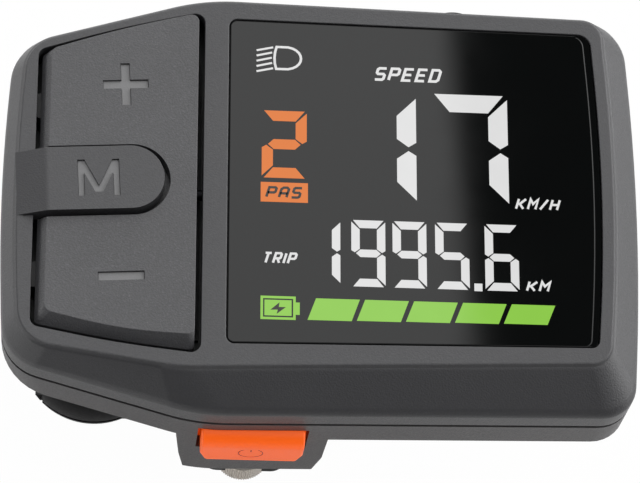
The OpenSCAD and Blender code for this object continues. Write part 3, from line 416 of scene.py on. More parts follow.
def metal(name, colour, roughness):
    """A turned or plated metal with marks 0.3 mm apart, as coarse as they need to be to show."""
    made, tree, surface = shader(name)
    grain = 0.3
    place = add(tree, "ShaderNodeTexCoord").outputs["Object"]
    marks = add(tree, "ShaderNodeTexNoise", {"Vector": place, "Scale": 1 / (grain * MM),
                                             "Detail": 3.0}).outputs["Fac"]
    spread = add(tree, "ShaderNodeMapRange", {"Value": marks, "To Min": roughness - 0.08,
                                              "To Max": roughness + 0.08})
    tree.links.new(spread.outputs["Result"], surface.inputs["Roughness"])
    bump = add(tree, "ShaderNodeBump", {"Height": marks, "Strength": 0.1, "Distance": grain * MM})
    tree.links.new(bump.outputs["Normal"], surface.inputs["Normal"])
    surface.inputs["Metallic"].default_value = 1.0
    surface.inputs["Base Color"].default_value = linear(colour)
    return made


def orange_with_painted_glow():
    """A faint orange glow, painted in as emission, lifts the button a little above what its light
    gives.
    """
    made = moulded("ABS moulded orange with painted glow", "#FC660F", roughness=0.42, grain=0.3,
                   depth=0.03, patch=0.03, specular=0.35)
    surface = made.node_tree.nodes["Principled BSDF"]
    # Painted glow: a weak emission that brightens the button as extra light would
    surface.inputs["Emission Color"].default_value = linear("#FF5000")
    surface.inputs["Emission Strength"].default_value = 0.2
    return made


def cover_glass():
    """Cover glass over a black mask: mirror-smooth, nearly black, with a trace of smears."""
    made, tree, surface = shader("tinted cover glass over a black mask")
    place = add(tree, "ShaderNodeTexCoord").outputs["Object"]
    smear = add(tree, "ShaderNodeTexNoise", {"Vector": place, "Scale": 120.0})
    spread = add(tree, "ShaderNodeMapRange", {"Value": smear.outputs["Fac"], "To Min": 0.02,
                                              "To Max": 0.06})
    tree.links.new(spread.outputs["Result"], surface.inputs["Roughness"])
    surface.inputs["Base Color"].default_value = linear("#060707")
    surface.inputs["IOR"].default_value = 1.52
    surface.inputs["Specular IOR Level"].default_value = 0.33
    return made


def lit(name, colour):
    """A lit shape of the screen: it glows at about its own colour, with a faint grid of pixels."""
    made, tree, surface = shader(name)
    place = add(tree, "ShaderNodeTexCoord").outputs["Object"]
    pixels = add(tree, "ShaderNodeTexNoise", {"Vector": place, "Scale": 400.0})
    tint = linear(colour)
    mix = add(tree, "ShaderNodeMix", {0: pixels.outputs["Fac"]}, data_type="RGBA")
    mix.inputs[6].default_value = [c * 0.95 for c in tint[:3]] + [1.0]
    mix.inputs[7].default_value = tint
    tree.links.new(mix.outputs[2], surface.inputs["Emission Color"])
    surface.inputs["Emission Strength"].default_value = 1.0
    surface.inputs["Base Color"].default_value = (0.002, 0.002, 0.002, 1)
    surface.inputs["Roughness"].default_value = 0.05
    surface.inputs["Specular IOR Level"].default_value = 0.33
    return made


# ABS moulded against a spark-eroded tool: dark grey satin with a fine grain, whose sparkle is painted
# into its colour as rare brighter specks. The real grain is about 0.1 mm, drawn at 0.25 mm so that it
# shows.
case_abs = moulded("ABS spark-eroded dark grey", "#313133", roughness=0.42, grain=0.25, depth=0.2,
                   patch=0.2, painted_glint=0.8)
key_abs = moulded("ABS key caps dark grey", "#39393B", roughness=0.42, grain=0.25, depth=0.3,
                  patch=0.3, painted_glint=1.4)
rear_abs = moulded("ABS spark-eroded warm grey", "#373536", roughness=0.45, grain=0.25, depth=0.2,
                   patch=0.2, painted_glint=0.8)
# Inlays of a lighter ABS, smoother than the keys
mark_abs = moulded("ABS inlay mid grey", "#646465", roughness=0.45, grain=0.25, depth=0.08)
# Moulded orange ABS: saturated and satin, almost without grain, with a faint painted glow
orange_abs_painted_glow = orange_with_painted_glow()
# Lines cut into it hold their own shadow, painted into their darker colour
engraved_shade = moulded("ABS engraved line, painted shade", "#A83A0A", roughness=0.6, grain=0.3,
                    depth=0.02, patch=0.03)
# Glass-filled nylon: near black, with a faint sheen where it is seen at a slant
nylon = moulded("glass-filled black nylon", "#08080A", roughness=0.4, grain=0.5, depth=0.04,
                patch=0.2, specular=0.06)
# Moulded EPDM: matt and a little dusty
rubber = moulded("EPDM rubber black", "#161617", roughness=0.75, grain=0.35, depth=0.3, patch=0.15)
# Epoxy board under black lacquer: nearly black, half matt
board = moulded("solder-masked FR4 black", "#0A0E0C", roughness=0.5, grain=0.4, depth=0.1)
# Uncoloured nylon of sockets and frames: creamy and half matt
white_parts = moulded("nylon connector, natural", "#DAD5C6", roughness=0.45, grain=0.4, depth=0.1)
# Epoxy of chip bodies: dark grey, dull, fine-grained
black_parts = moulded("epoxy chip body", "#232323", roughness=0.5, grain=0.2, depth=0.2)
# Polyimide film of flat leads: amber and smooth
film = moulded("polyimide film amber", "#A9651B", roughness=0.35, grain=0.5, depth=0.05)
# Foam tape under the window: dull black
tape = moulded("acrylic foam tape black", "#151515", roughness=0.6, grain=0.3, depth=0.1)
# Plated steels and turned brass: pale and warm, with fine lathe marks. Blackened steel: dark grey.
zinc = metal("zinc-plated steel", "#BDBAB3", 0.3)
nickel = metal("nickel-plated steel, knurled", "#D2CBC2", 0.36)
brass = metal("turned brass", "#C29A4B", 0.3)
blackened = metal("blackened steel", "#1C1C1E", 0.4)
# The screen: black glass, lit segments, and unlit ones that stay a trace lighter than the black
glass = cover_glass()
white_lit = lit("LCD segments, white", "#E0E0E0")
orange_lit = lit("LCD segments, orange", "#DE7628")
green_lit = lit("LCD segments, green", "#8ECA4C")
dark_print = moulded("LCD segments, unlit", "#1E1A16", roughness=0.3, grain=0.5, depth=0.02)


# Front cover

def cover_hollow():
    """The space inside the front cover, less the window's ledge, the pin lugs and the posts."""
    lug_half, lug_low, web_half, outside = 1.8, 23.0, 1.2, -27
    ledge_wide, top, side_top = 0.8, ROOF + 1, SHELL_LOW + SIDE_POST_HIGH
    space = stack([(case_line(WALL), PARTING - 1), (case_line(WALL), LIP - 0.72),
                   (face_line(0.72), ROOF)])
    kept = [prism(screen_line(-ledge_wide), ROOF - 1, top),
            block((outside, ROCKER_Y - lug_half, lug_low), (-21.6, ROCKER_Y + lug_half, SLOT_FLOOR)),
            block((3.1, ROCKER_Y - lug_half, lug_low), (5.5, ROCKER_Y + lug_half, top))]
    for i, (x, y) in enumerate(COVER_POSTS):
        by_wall = i < SIDE_POSTS
        kept.append(post((x, y), 2, SHELL_LOW, side_top if by_wall else top))
        if by_wall:
            kept.append(block((outside, y - web_half, SHELL_LOW), (x, y + web_half, side_top)))
    kept += [post(spot, 1.9, BOARD_TOP, top) for spot in BOARD_POSTS]
    return carve(space, less(*kept))


def opening(line, bottom, flare):
    """What an opening of the face takes away, wider at its mouth to round the rim."""
    return stack([(line(0), bottom), (line(0), FACE - 0.14), (line(-0.03), FACE - 0.04),
                  (line(-flare), FACE + 0.01), (line(-flare), FACE + 2)])


def front_cover():
    """The upper shell with its lip, chamfered sides, stepped face, openings, posts and lugs."""
    case, step = case_line(), face_line(-STEP_WIDE)
    shoulder = FACE - STEP
    rise = shoulder - LIP
    # Upwards: an edge, the lip, a soft bend, the chamfer, the step and the rounded rim of the face
    levels = [(case_line(0.05), SHELL_LOW), (case, SHELL_LOW + 0.07), (case, LIP - 0.75)]
    for share, height in ((0.012, -0.45), (0.045, -0.12), (0.1, 0.22), (0.17, 0.17 * rise),
                          (0.93, 0.93 * rise)):
        levels.append((between(case, step, share), LIP + height))
    levels.append((between(case, step, 0.985), shoulder - 0.1))
    for distance, height in ((-0.26, shoulder - 0.02), (-0.06, FACE - 0.22), (0.02, FACE - 0.08),
                             (0.16, FACE - 0.01), (0.3, FACE)):
        levels.append((face_line(distance), height))

    ledge_wide, notch_half = 1.6, MODE_HALF + 0.08
    mode_pin_r, mode_pin_half, rocker_pin_r = 0.51, 6.5, 0.81
    notch = block((-0.56, -notch_half, SLOT_FLOOR), (2.2, notch_half, FACE + 3))
    pin_hole = pin("y", (0, MODE_PIN), mode_pin_r, -mode_pin_half, mode_pin_half)
    taken = [cover_hollow(), opening(screen_line, LEDGE, 0.12),
             prism(screen_line(ledge_wide), ROOF - 2, LEDGE + 0.1),
             opening(keypad_line, SLOT_FLOOR, 0.1), mode_place(notch), mode_place(pin_hole)]
    for start, end in ((-24.1, -20.4), (2.0, 6.5)):
        taken.append(pin("x", (ROCKER_Y, ROCKER_PIN), rocker_pin_r, start, end))
    # Pilot holes of the screws
    for spots, radius, start, end in ((COVER_POSTS, 1.12, 18.5, 24.1),
                                      (BOARD_POSTS, 0.97, 20.8, 25.3)):
        taken += [post(spot, radius, start, end, 24) for spot in spots]
    made = piece(carve(stack(levels), less(*taken)), "front_shell", case_abs, "display",
                 sharp=28)
    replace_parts(made, "front_cover")


front_cover()


# Screen

def screen_window():
    """The cover glass. By its right edge the printed border lies a hair lower, behind a bevel."""
    def printed_line(distance, draw):
        corners = [(x - draw if i in (1, 2, 3) else x, y) for i, (x, y) in enumerate(SCREEN_CORNERS)]
        return rounded(corners, SCREEN_RADII, distance)

    bm = stack([(screen_line(0.15), WINDOW_LOW), (screen_line(0.15), WINDOW_TOP - 0.15),
                (screen_line(0.25), WINDOW_TOP - 0.05), (printed_line(0.27, 0.8), WINDOW_TOP - 0.045),
                (printed_line(0.32, 0.9), WINDOW_TOP)])
    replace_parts(piece(bm, "screen_glass", glass, "display", sharp=8), "display_window")


screen_window()

# Strokes of each letter on a grid 3 wide and 5 high
LETTERS = {
    "S": [[(3, 5), (0.5, 5), (0, 4.5), (0, 3), (0.5, 2.5), (2.5, 2.5), (3, 2), (3, 0.5), (2.5, 0),
           (0, 0)]],
    "P": [[(0, 0), (0, 5), (2.5, 5), (3, 4.5), (3, 2.8), (2.5, 2.3), (0, 2.3)]],
    "E": [[(3, 5), (0, 5), (0, 0), (3, 0)], [(0, 2.5), (2.7, 2.5)]],
    "D": [[(0, 0), (0, 5), (2.3, 5), (3, 4.3), (3, 0.7), (2.3, 0), (0, 0)]],
    "A": [[(0, 0), (0, 4.2), (0.8, 5), (2.2, 5), (3, 4.2), (3, 0)], [(0, 2), (3, 2)]],
    "T": [[(0, 5), (3, 5)], [(1.5, 5), (1.5, 0)]],
    "R": [[(0, 0), (0, 5), (2.5, 5), (3, 4.5), (3, 2.8), (2.5, 2.3), (0, 2.3)],
          [(1.5, 2.3), (3, 0)]],
    "I": [[(0, 0), (0, 5)]],
    "K": [[(0, 0), (0, 5)], [(0, 2.5), (1, 2.5), (3, 5)], [(1, 2.5), (3, 0)]],
    "M": [[(0, 0), (0, 5), (1.6, 2.6), (3.2, 5), (3.2, 0)]],
    "H": [[(0, 0), (0, 5)], [(3, 0), (3, 5)], [(0, 2.5), (3, 2.5)]],
    "/": [[(0, 0), (2.2, 5)]],
}
LEAN = 0.3


def plate(bm, points, low=GLYPH_LOW, high=GLYPH_HIGH):
    """A thin flat shape with a thickness."""
    extrude(bm, [(x, y, low) for x, y in points], (0, 0, high - low))


def ribbon(bm, line, width, low=GLYPH_LOW, high=GLYPH_HIGH):
    """A stroke of one width along a line, with mitred corners."""
    points = [Vector(p) for p in line]
    closed = (points[0] - points[-1]).length < 1e-9
    sides = []
    for i, point in enumerate(points):
        before = points[i - 1] if i else (points[-2] if closed else None)
        after = points[i + 1] if i + 1 < len(points) else (points[1] if closed else None)
        way_in = (after - point if before is None else point - before).normalized()
        way_out = way_in if after is None else (after - point).normalized()
        sideways = Vector((-way_in.y - way_out.y, way_in.x + way_out.x)).normalized()
        reach = width / 2 / max(sideways.dot(Vector((-way_in.y, way_in.x))), 0.4)
        sides.append((point + sideways * reach, point - sideways * reach))
    for (a, b), (c, d) in zip(sides, sides[1:]):
        plate(bm, [a, b, d, c], low, high)


def word(bm, text, left, foot, width, height, stroke, high=GLYPH_HIGH):
    """A word in leaning stroke letters that fills a given width, with a unit between letters."""
    spans = [max(x for line in LETTERS[c] for x, _ in line) for c in text]
    unit = (width - stroke * len(text) - LEAN * height) / (sum(spans) + len(text) - 1)
    x = left + stroke / 2
    rise = (height - stroke) / 5
    for span, c in zip(spans, text):
        for line in LETTERS[c]:
            ribbon(bm, [(x + px * unit + LEAN * py * rise, foot + stroke / 2 + py * rise)
                        for px, py in line], stroke, high=high)
        x += (span + 1) * unit + stroke


SEGMENTS = {"1": "bc", "2": "abged", "5": "afgcd", "6": "afedcg", "7": "abc", "9": "abcdfg"}


def digit(bm, value, left, low, width, height, stroke, gap):
    """One seven-segment digit. Segment ends are cut at 45 degrees with a gap between them."""
    s, w, h, m, g = stroke, width, height, height / 2, gap
    shapes = {
        "a": [(g, h), (w - g, h), (w - s, h - s), (s, h - s)],
        "b": [(w, h - g), (w, m + g + s * 0.15), (w - s * 0.4, m + g / 2), (w - s, m + s * 0.55),
              (w - s, h - s - g)],
        "c": [(w, g), (w - s, s + g), (w - s, m - s * 0.55), (w - s * 0.4, m - g / 2),
              (w, m - g - s * 0.15)],
        "d": [(g, 0), (s, s), (w - s, s), (w - g, 0)],
        "e": [(0, g), (0, m - g - s * 0.15), (s * 0.4, m - g / 2), (s, m - s * 0.55), (s, s + g)],
        "f": [(0, h - g), (s, h - s - g), (s, m + s * 0.55), (s * 0.4, m + g / 2),
              (0, m + g + s * 0.15)],
        "g": [(s * 0.55, m), (s + g * 0.3, m + s * 0.48), (w - s - g * 0.3, m + s * 0.48),
              (w - s * 0.55, m), (w - s - g * 0.3, m - s * 0.48), (s + g * 0.3, m - s * 0.48)],
    }
    for name in SEGMENTS[value]:
        plate(bm, [(left + x, low + y) for x, y in shapes[name]])


def headlight_sign(bm):
    """Five beams and a lamp."""
    for i in range(5):
        y = 32.1 - 0.83 * i
        reach = 12.2 + 0.05 * (i - 2) ** 2
        ribbon(bm, [(10.0, y), (reach, y + 0.56)], 0.3)
    lamp = [(12.85, 29.25), (12.65, 30.1), (12.6, 31.0), (12.68, 31.9), (12.9, 32.75)]
    for i in range(1, 12):
        turn = math.pi / 2 - math.pi * i / 12
        lamp.append((13.6 + 2.85 * math.cos(turn) ** 0.8, 31.0 + 1.8 * math.sin(turn)))
    ribbon(bm, lamp + lamp[:1], 0.36)


def white_signs():
    """The speed and the trip with their words, and the headlight sign."""
    bm = bmesh.new()
    word(bm, "SPEED", 26.98, 27.95, 10.2, 2.2, 0.4)
    digit(bm, "1", 26.5, 8.8, 6.6, 17.1, 2.8, 0.6)
    digit(bm, "7", 35.2, 8.8, 11.2, 17.4, 2.8, 0.6)
    word(bm, "KM/H", 47.2, 8.5, 6.8, 1.85, 0.34)
    word(bm, "TRIP", 10.9, -0.97, 5.3, 1.8, 0.34)
    digit(bm, "1", 17.3, -3.8, 4.8, 9.7, 1.2, 0.25)
    for value, left in (("9", 23.67), ("9", 29.55), ("5", 35.65), ("6", 42.75)):
        digit(bm, value, left, -4.0, 4.85, 10.1, 1.2, 0.25)
    plate(bm, [(41.15, -4.15), (42.3, -4.15), (42.3, -3.0), (41.15, -3.0)])
    word(bm, "KM", 48.5, -4.0, 3.8, 1.7, 0.34)
    headlight_sign(bm)
    piece(bm, "screen_white_segments", white_lit, "display", sharp=20)


def orange_signs():
    """The level of help and the plate of its word."""
    bm = bmesh.new()
    digit(bm, "2", 10.85, 12.2, 6.45, 10.45, 1.6, 0.3)
    plate(bm, [(10.73, 8.48), (17.48, 8.48), (17.48, 11.5), (10.73, 11.5)])
    piece(bm, "screen_orange_segments", orange_lit, "display", sharp=20)


def green_signs():
    """The charge bars and the battery sign."""
    bm = bmesh.new()
    for i in range(5):
        x, low, high = 18.65 + 6.95 * i, -9.25 + 0.08 * i, -5.98
        plate(bm, [(x, high), (x + 6.2, high), (x + 5.03, low), (x - 1.2, low)])
    ribbon(bm, [(11.0, -6.0), (15.6, -6.0), (15.6, -9.15), (11.0, -9.15), (11.0, -6.0)], 0.36)
    plate(bm, [(15.78, -6.7), (16.35, -6.7), (16.35, -8.55), (15.78, -8.55)])
    plate(bm, [(11.38, -6.4), (15.2, -6.4), (15.2, -8.75), (11.38, -8.75)])
    piece(bm, "screen_green_segments", green_lit, "display", sharp=20)


def dark_signs():
    """The dark letters and the dark bolt, just over the lit shapes they lie on."""
    bm = bmesh.new()
    high = GLYPH_HIGH + 0.01
    word(bm, "PAS", 11.35, 9.05, 5.6, 1.85, 0.38, high=high)
    plate(bm, [(12.2, -7.9), (13.5, -6.75), (13.4, -7.45), (14.4, -7.45), (13.1, -8.5),
               (13.25, -7.85)], high=high)
    piece(bm, "screen_dark_signs", dark_print, "display", sharp=20)


white_signs()
orange_signs()
green_signs()
dark_signs()


# Keys

def bar_slot(y, turn):
    """The recess of one bar of the + or the -."""
    half_long, half_wide = BAR_LONG / 2 + MARK_ROOM, BAR_WIDE / 2 + MARK_ROOM
    low, high = ROCKER_TOP - MARK_DEPTH, ROCKER_TOP + 2
    bm = block((-half_long, -half_wide, low), (half_long, half_wide, high))
    place = Matrix.Translation((KEY_X * MM, y * MM, 0)) @ Matrix.Rotation(MODE_SKEW + turn, 4, "Z")
    bmesh.ops.transform(bm, matrix=place, verts=bm.verts)
    return bm


def letter_line():
    """The outline of the recess of the M, from the mode key's left end."""
    w, h, leg = 2.9 + MARK_ROOM, 2.7 + MARK_ROOM, 0.8 + 2 * MARK_ROOM
    slant, dip = 1.0, 0.55
    corners = [(-w, -h), (leg - w, -h), (leg - w, h - 2 * slant), (-dip, dip - h), (dip, dip - h),
               (w - leg, h - 2 * slant), (w - leg, -h), (w, -h), (w, h), (w - slant, h),
               (0, slant + dip - h), (slant - w, h), (-w, h)]
    return [(LETTER_X + x, y) for x, y in corners]


def rocker():
    """The + and - key: a hollow cap with a slot for the mode key, pin lugs and stems."""
    outer, top = rocker_line(), plate_line()
    bevel_low = ROCKER_TOP - 1.6
    body = stack([
        (rocker_line(0.1), ROCKER_LOW), (outer, ROCKER_LOW + 0.1), (outer, bevel_low - 0.06),
        (between(outer, top, 0.03), bevel_low + 0.06),
        (between(outer, top, 0.96), ROCKER_TOP - 0.07),
        (plate_line(0.03), ROCKER_TOP - 0.01), (plate_line(0.1), ROCKER_TOP)])
    slot_half, stem_hole_r, stem_low = MODE_SLOT + MODE_GAP, 2.2, 23.45
    slot_wall = prism(tongue_line(slot_half + KEY_WALL, -1), ROCKER_LOW - 3, FACE)
    space = prism(rocker_line(KEY_WALL), ROCKER_LOW - 1, ROCKER_HOLLOW)
    slot = prism(tongue_line(slot_half, -3), ROCKER_LOW + 1, MODE_TOP + 4)
    stem_hole = post(MODE_STEM, stem_hole_r, ROCKER_LOW - 2, FACE)
    steps = less(carve(space, less(mode_place(slot_wall))), mode_place(slot), mode_place(stem_hole))

    # The + has two bars, the - one. Both signs lie a little further away than their stems.
    plus_y, minus_y = ROCKER_Y + SWITCH_ARM + 0.35, ROCKER_Y - SWITCH_ARM + 0.35
    steps += less(bar_slot(plus_y, 0), bar_slot(plus_y, math.pi / 2), bar_slot(minus_y, 0))
    lug_r, lug_thick, pin_r = 1.6, 1.8, 0.84
    near, far, axis = ROCKER_Y - lug_r, ROCKER_Y + lug_r, (ROCKER_Y, ROCKER_PIN)
    for start in (-20.6, -0.1):
        end = start + lug_thick
        steps += plus(block((start, near, ROCKER_PIN), (end, far, ROCKER_LOW + 1)),
                      pin("x", axis, lug_r, start, end))
        steps += less(pin("x", axis, pin_r, start - 1, end + 1))
    for side in (-1, 1):
        spot = (KEY_X, ROCKER_Y + side * SWITCH_ARM)
        steps += plus(post(spot, STEM_R, stem_low, ROCKER_HOLLOW + 0.1))
    made = piece(carve(body, steps), "rocker_cap", key_abs, "rocker", bevel=(0.1, 62))
    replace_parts(made, "rocker_key")


def ramp(x):
    """Height of the mode key's ramp."""
    return MODE_TOP - RAMP_DROP * (RAMP_END - x) / RAMP_LONG


def mode_key():
    """The tongue with the M: its ramp starts on the rim, and its top edge is well rounded."""
    soft, feather, wide, low, back = 0.5, -1.45, 6, 26.5, -0.5
    far, under, on_rim = MODE_END + 6, MODE_TOP - MODE_BODY, FACE - 0.01
    profile = [(back, low), (back, on_rim), (feather, on_rim), (feather, ramp(feather)),
               (RAMP_END - soft, ramp(RAMP_END - soft) - 0.01),
               (RAMP_END - 0.15, MODE_TOP - 0.09), (RAMP_END + 0.15, MODE_TOP - 0.015),
               (RAMP_END + soft, MODE_TOP), (far, MODE_TOP), (far, under), (2.2, under), (1.2, low)]
    edge_round, stem_low, pin_hole_r = 0.8, 23.34, 0.54
    bar = bmesh.new()
    extrude(bar, [(x, -wide, z) for x, z in profile], (0, 2 * wide, 0))
    tongue = prism(tongue_line(MODE_HALF, -2, MODE_END - MODE_GAP), low - 6, MODE_TOP + 10)
    body = carve(bar, [("INTERSECT", tongue)])
    bmesh.ops.remove_doubles(body, verts=body.verts, dist=1e-7)
    upper = [e for e in body.edges if len(e.link_faces) == 2
             and max(f.normal.z for f in e.link_faces) > 0.5
             and min(abs(f.normal.z) for f in e.link_faces) < 0.2
             and max(v.co.x for v in e.verts) > feather * MM + 1e-5]
    bmesh.ops.bevel(body, geom=upper, offset=edge_round * MM, affect="EDGES", segments=5,
                    profile=0.5, clamp_overlap=True, material=-1)
    steps = less(prism(letter_line(), MODE_TOP - MARK_DEPTH, MODE_TOP + 1))
    steps += plus(post(MODE_STEM, STEM_R, stem_low, under + 0.05))
    steps += less(pin("y", (0, MODE_PIN), pin_hole_r, -wide, wide))
    made = piece(mode_place(carve(body, steps)), "mode_cap", case_abs, "mode", sharp=30)
    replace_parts(made, "mode_key")


rocker()
mode_key()


# Power button

def power_button():
    """The orange button: rolled over from its top to its front, with cut lower corners."""
    half, bottom, top, back = 7.4, 8.9, 16.7, -19.7
    roll, small, rim = 2.4, 0.45, 0.45
    corner_wide, corner_high = 0.8, 2.6
    flange, flange_low, flange_high = 0.8, -20.1, -19.4
    left, right = BOSS_X - half, BOSS_X + half
    profile = [(back, bottom), (back, top)]
    for i in range(11):
        turn = math.pi / 2 * i / 10
        profile.append((BUTTON_FRONT + roll * (1 - math.sin(turn)),
                        top - roll * (1 - math.cos(turn))))
    for i in range(5):
        turn = math.pi / 2 * i / 4
        profile.append((BUTTON_FRONT + small * (1 - math.cos(turn)),
                        bottom + small * (1 - math.sin(turn))))
    bm = bmesh.new()
    extrude(bm, [(left, y, z) for y, z in profile], (2 * half, 0, 0))
    bmesh.ops.recalc_face_normals(bm, faces=bm.faces)
    for side, x in ((-1, left), (1, right)):
        cut = bmesh.ops.bisect_plane(bm, geom=bm.verts[:] + bm.edges[:] + bm.faces[:], dist=1e-7,
                                     plane_co=(x * MM, 0, (bottom + corner_high) * MM),
                                     plane_no=(side * corner_high, 0, -corner_wide),
                                     clear_outer=True)
        bmesh.ops.contextual_create(bm, geom=[e for e in cut["geom_cut"]
                                              if isinstance(e, bmesh.types.BMEdge)])
    rims = [e for e in bm.edges if len(e.link_faces) == 2
            and (abs(e.link_faces[0].normal.x) > 0.8) != (abs(e.link_faces[1].normal.x) > 0.8)]
    bmesh.ops.bevel(bm, geom=rims, offset=rim * MM, affect="EDGES", segments=3, profile=0.5,
                    clamp_overlap=True, material=-1)
    _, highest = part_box("power_button")
    steps = plus(block((left - flange, flange_low, bottom - flange),
                       (right + flange, flange_high, top + flange)),
                 pin("y", (BOSS_X, (bottom + top) / 2), STEM_R, flange_high - 0.05, highest.y / MM))
    made = piece(carve(bm, steps), "button_cap", orange_abs_painted_glow, "button", sharp=30)
    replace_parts(made, "power_button")


def button_sign():
    """An engraved open ring and a stroke, drawn as thin lines of darker orange on the front, with the
    shade of the cut painted in.
    """
    x, z, radius, thick = 10.62, 12.5, 1.75, 0.03
    bm = bmesh.new()
    turns = [math.radians(125 + 290 * i / 40) for i in range(41)]
    ribbon(bm, [(x + radius * math.cos(t), z + radius * math.sin(t)) for t in turns], 0.17,
           low=0, high=thick)
    ribbon(bm, [(x, z + 0.5), (x, z + 1.4)], 0.2, low=0, high=thick)
    # Stood upright, facing the rider, with two thirds of its thickness out of the button
    stand = Matrix(((1, 0, 0), (0, 0, -1), (0, 1, 0))).to_4x4()
    move = Matrix.Translation((0, (BUTTON_FRONT + thick / 3) * MM, 0))
    bmesh.ops.transform(bm, matrix=move @ stand, verts=bm.verts)
    piece(bm, "button_sign", engraved_shade, "button", sharp=20)


power_button()
button_sign()


# Clamp screw

def clamp_screw():
    """A cap screw with a knurled head and a hexagon socket."""
    head_r, shank_r, knurl_deep, teeth = 4.25, 2.5, 0.16, 72
    head_low, head_high, tip = -11.65, -6.65, 5.4
    socket_flats, socket_deep = 4, 2.6
    sides = 2 * teeth
    knurl = []
    for i, (x, y) in enumerate(circle(1, sides)):
        radius = head_r - knurl_deep * (i % 2)
        knurl.append((radius * x, radius * y))
    edge, end = circle(head_r - 0.2, sides), circle(head_r - 0.5, sides)
    shank = circle(shank_r, sides)
    bm = stack([(end, head_low), (edge, head_low + 0.3), (knurl, head_low + 0.45),
                (knurl, head_high - 0.45), (edge, head_high - 0.3), (end, head_high),
                (shank, head_high), (shank, tip - 0.5), (circle(shank_r - 0.5, sides), tip)])
    socket = prism(circle(socket_flats / math.sqrt(3), 6), head_low - 1, head_low + socket_deep)
    shaped = carve(bm, less(socket))
    bmesh.ops.translate(shaped, vec=(BOSS_X * MM, SCREW_Y * MM, 0), verts=shaped.verts)
    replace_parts(piece(shaped, "knurled_screw", nickel, "screw", sharp=25), "clamp_screw")


clamp_screw()


# Pieces that keep the solid's shape, with softened edges

def softened(node, name, material, body, width, angle):
    """A copy of a CAD node, merged, with its flat faces joined and its edges rounded."""
    bm = bmesh.new()
    bm.from_mesh(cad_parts[node].data)
    bmesh.ops.remove_doubles(bm, verts=bm.verts, dist=2e-6)
    bmesh.ops.dissolve_limit(bm, angle_limit=math.radians(0.5), verts=bm.verts, edges=bm.edges)
    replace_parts(piece(bm, name, material, body, bevel=(width, angle)), node)


softened("rear_cover", "rear_shell", rear_abs, "display", 0.2, 30)
softened("clamp_saddle", "saddle_half", nylon, "display", 0.25, 40)
softened("clamp_jaw", "jaw_half", nylon, "jaw", 0.25, 40)

# The other solids are shown as they are, each group in its material
for material, names in (
        (mark_abs, ("plus_mark", "minus_mark", "mode_mark")),
        (rubber, ("housing_seal", "key_membrane", "saddle_liner", "jaw_liner", "cable_gland")),
        (tape, ("window_adhesive",)),
        (glass, ("lcd_panel",)),
        (white_parts, ("lcd_frame", "flex_socket", "cable_socket")),
        (film, ("lcd_flex", "power_lead")),
        (board, ("circuit_board", "power_board")),
        (black_parts, ("board_chips",)),
        (zinc, ("board_screws", "key_domes", "power_dome", "housing_screws", "saddle_screws",
                "hinge_pin")),
        (blackened, ("rocker_pin", "mode_pin")),
        (brass, ("thread_insert",))):
    for name in names:
        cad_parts[name].data.materials.clear()
        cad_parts[name].data.materials.append(material)


# Camera

def photo_camera():
    """The photograph's angle: nearly overhead, tilted towards the rider."""
    target = Vector((19.2, 2.6, FACE)) * MM
    tilt, yaw, distance = math.radians(21.6), math.radians(-5.0), 470
    mm_per_pixel, image_wide, sensor = 0.1417, 640, 36
    back = Vector((math.sin(yaw) * math.cos(tilt), -math.sin(tilt), math.cos(tilt) * math.cos(yaw)))
    back.normalize()
    right = (-back).cross(Vector((0, 1, 0))).normalized()
    up = right.cross(-back)
    data = bpy.data.cameras.new("camera")
    data.sensor_width = sensor
    data.lens = distance / mm_per_pixel * sensor / image_wide
    data.clip_start = 0.01
    made = bpy.data.objects.new("camera", data)
    turn = Matrix((right, up, back)).transposed().to_4x4()
    made.matrix_world = Matrix.Translation(target + back * distance * MM) @ turn
    bpy.context.scene.collection.objects.link(made)
    bpy.context.scene.camera = made


photo_camera()


# Floor and light

def floor():
    """White paper. The camera sees it as white, with a trace of the object's shadow."""
    half_side, height = 4000, -16.6
    bm = bmesh.new()
    bmesh.ops.create_grid(bm, x_segments=1, y_segments=1, size=half_side * MM,
                          matrix=Matrix.Translation((0, 0, height * MM)))
    made = to_object(bm, "floor")
    paper, tree, surface = shader("white paper sweep")
    surface.inputs["Base Color"].default_value = linear("#D8D8D8")
    surface.inputs["Roughness"].default_value = 0.9
    rays = add(tree, "ShaderNodeLightPath")
    glow = add(tree, "ShaderNodeEmission", {"Strength": 1.0})
    mirrored = add(tree, "ShaderNodeMath", {0: rays.outputs["Is Glossy Ray"],
                                            1: rays.outputs["Is Transmission Ray"]}, operation="ADD")
    mirror_share = add(tree, "ShaderNodeMath", {0: mirrored.outputs[0], 1: 0.15},
                       operation="MULTIPLY")
    share = add(tree, "ShaderNodeMath", {0: rays.outputs["Is Camera Ray"], 1: 0.98,
                                         2: mirror_share.outputs[0]}, operation="MULTIPLY_ADD")
    mix = add(tree, "ShaderNodeMixShader", {0: share.outputs[0], 1: surface.outputs[0],
                                            2: glow.outputs[0]})
    tree.links.new(mix.outputs[0], tree.nodes["Material Output"].inputs["Surface"])
    made.data.materials.append(paper)


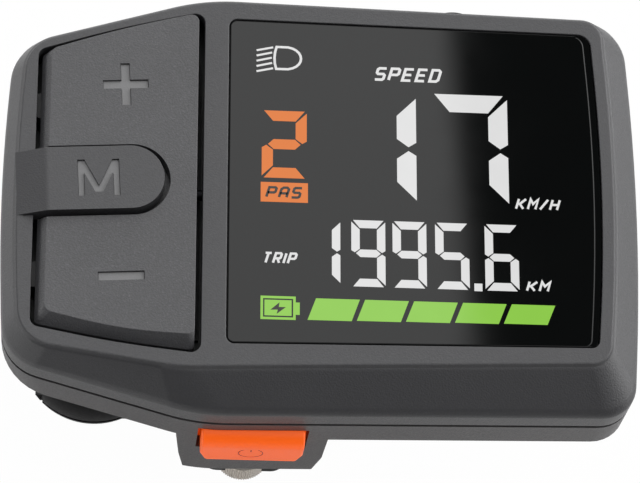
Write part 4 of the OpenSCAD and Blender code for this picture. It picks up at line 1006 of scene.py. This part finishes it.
# The tent of white cloth round the table: each part has its strength, and for some axes the
# place where it begins and the place where it is full. W is x with a little of y, for an edge
# that leans.
TENT = (
    (0.12, ()),
    (1.7, (("Z", 0.4, 0.6), ("X", -0.52, -0.3), ("Y", -0.75, -0.1))),
    (2.4, (("X", -0.6, -0.85), ("Z", -0.2, 0.0), ("Z", 0.45, 0.25))),
    (0.8, (("Z", 0.4, 0.6), ("X", -0.52, -0.3), ("Y", 0.2, 0.62))),
    (1.8, (("Z", 0.6, 0.4), ("Y", 0.25, 0.6))),
    (3.7, (("X", 0.45, 0.8), ("Z", -0.2, 0.0), ("Z", 0.75, 0.5), ("Y", -0.5, -0.1))),
    # A dark card, which the right part of the screen reflects
    (-2.4, (("W", 0.164, 0.174), ("X", 0.42, 0.3), ("Y", 0.2, 0.27), ("Y", 0.6, 0.5),
            ("Z", 0.4, 0.6))),
)


def light_tent():
    """Soft light from all round, worked out from the direction. The camera sees it as white."""
    made = bpy.data.worlds.new("light tent")
    bpy.context.scene.world = made
    made.use_nodes = True
    tree = made.node_tree
    way = add(tree, "ShaderNodeTexCoord").outputs["Generated"]
    axes = dict(add(tree, "ShaderNodeSeparateXYZ", {"Vector": way}).outputs.items())
    axes["W"] = add(tree, "ShaderNodeMath", {0: axes["Y"], 1: 0.12, 2: axes["X"]},
                    operation="MULTIPLY_ADD").outputs[0]
    total = 0.0
    for strength, limits in TENT:
        part = strength
        for axis, start, full in limits:
            edge = add(tree, "ShaderNodeMapRange", {"Value": axes[axis], "From Min": start,
                                                    "From Max": full},
                       interpolation_type="SMOOTHSTEP")
            part = add(tree, "ShaderNodeMath", {0: part, 1: edge.outputs["Result"]},
                       operation="MULTIPLY").outputs[0]
        total = add(tree, "ShaderNodeMath", {0: total, 1: part}, operation="ADD").outputs[0]
    level = add(tree, "ShaderNodeMath", {0: total, 1: 0.03}, operation="MAXIMUM").outputs[0]
    camera_ray = add(tree, "ShaderNodeLightPath").outputs["Is Camera Ray"]
    seen = add(tree, "ShaderNodeMix", {0: camera_ray, 2: level, 3: 1.0}, data_type="FLOAT")
    tree.links.new(seen.outputs[0], tree.nodes["Background"].inputs["Strength"])
    tree.nodes["Background"].inputs["Color"].default_value = linear("#FFFFFF")


floor()
light_tent()

bpy.context.scene.view_settings.view_transform = "Standard"
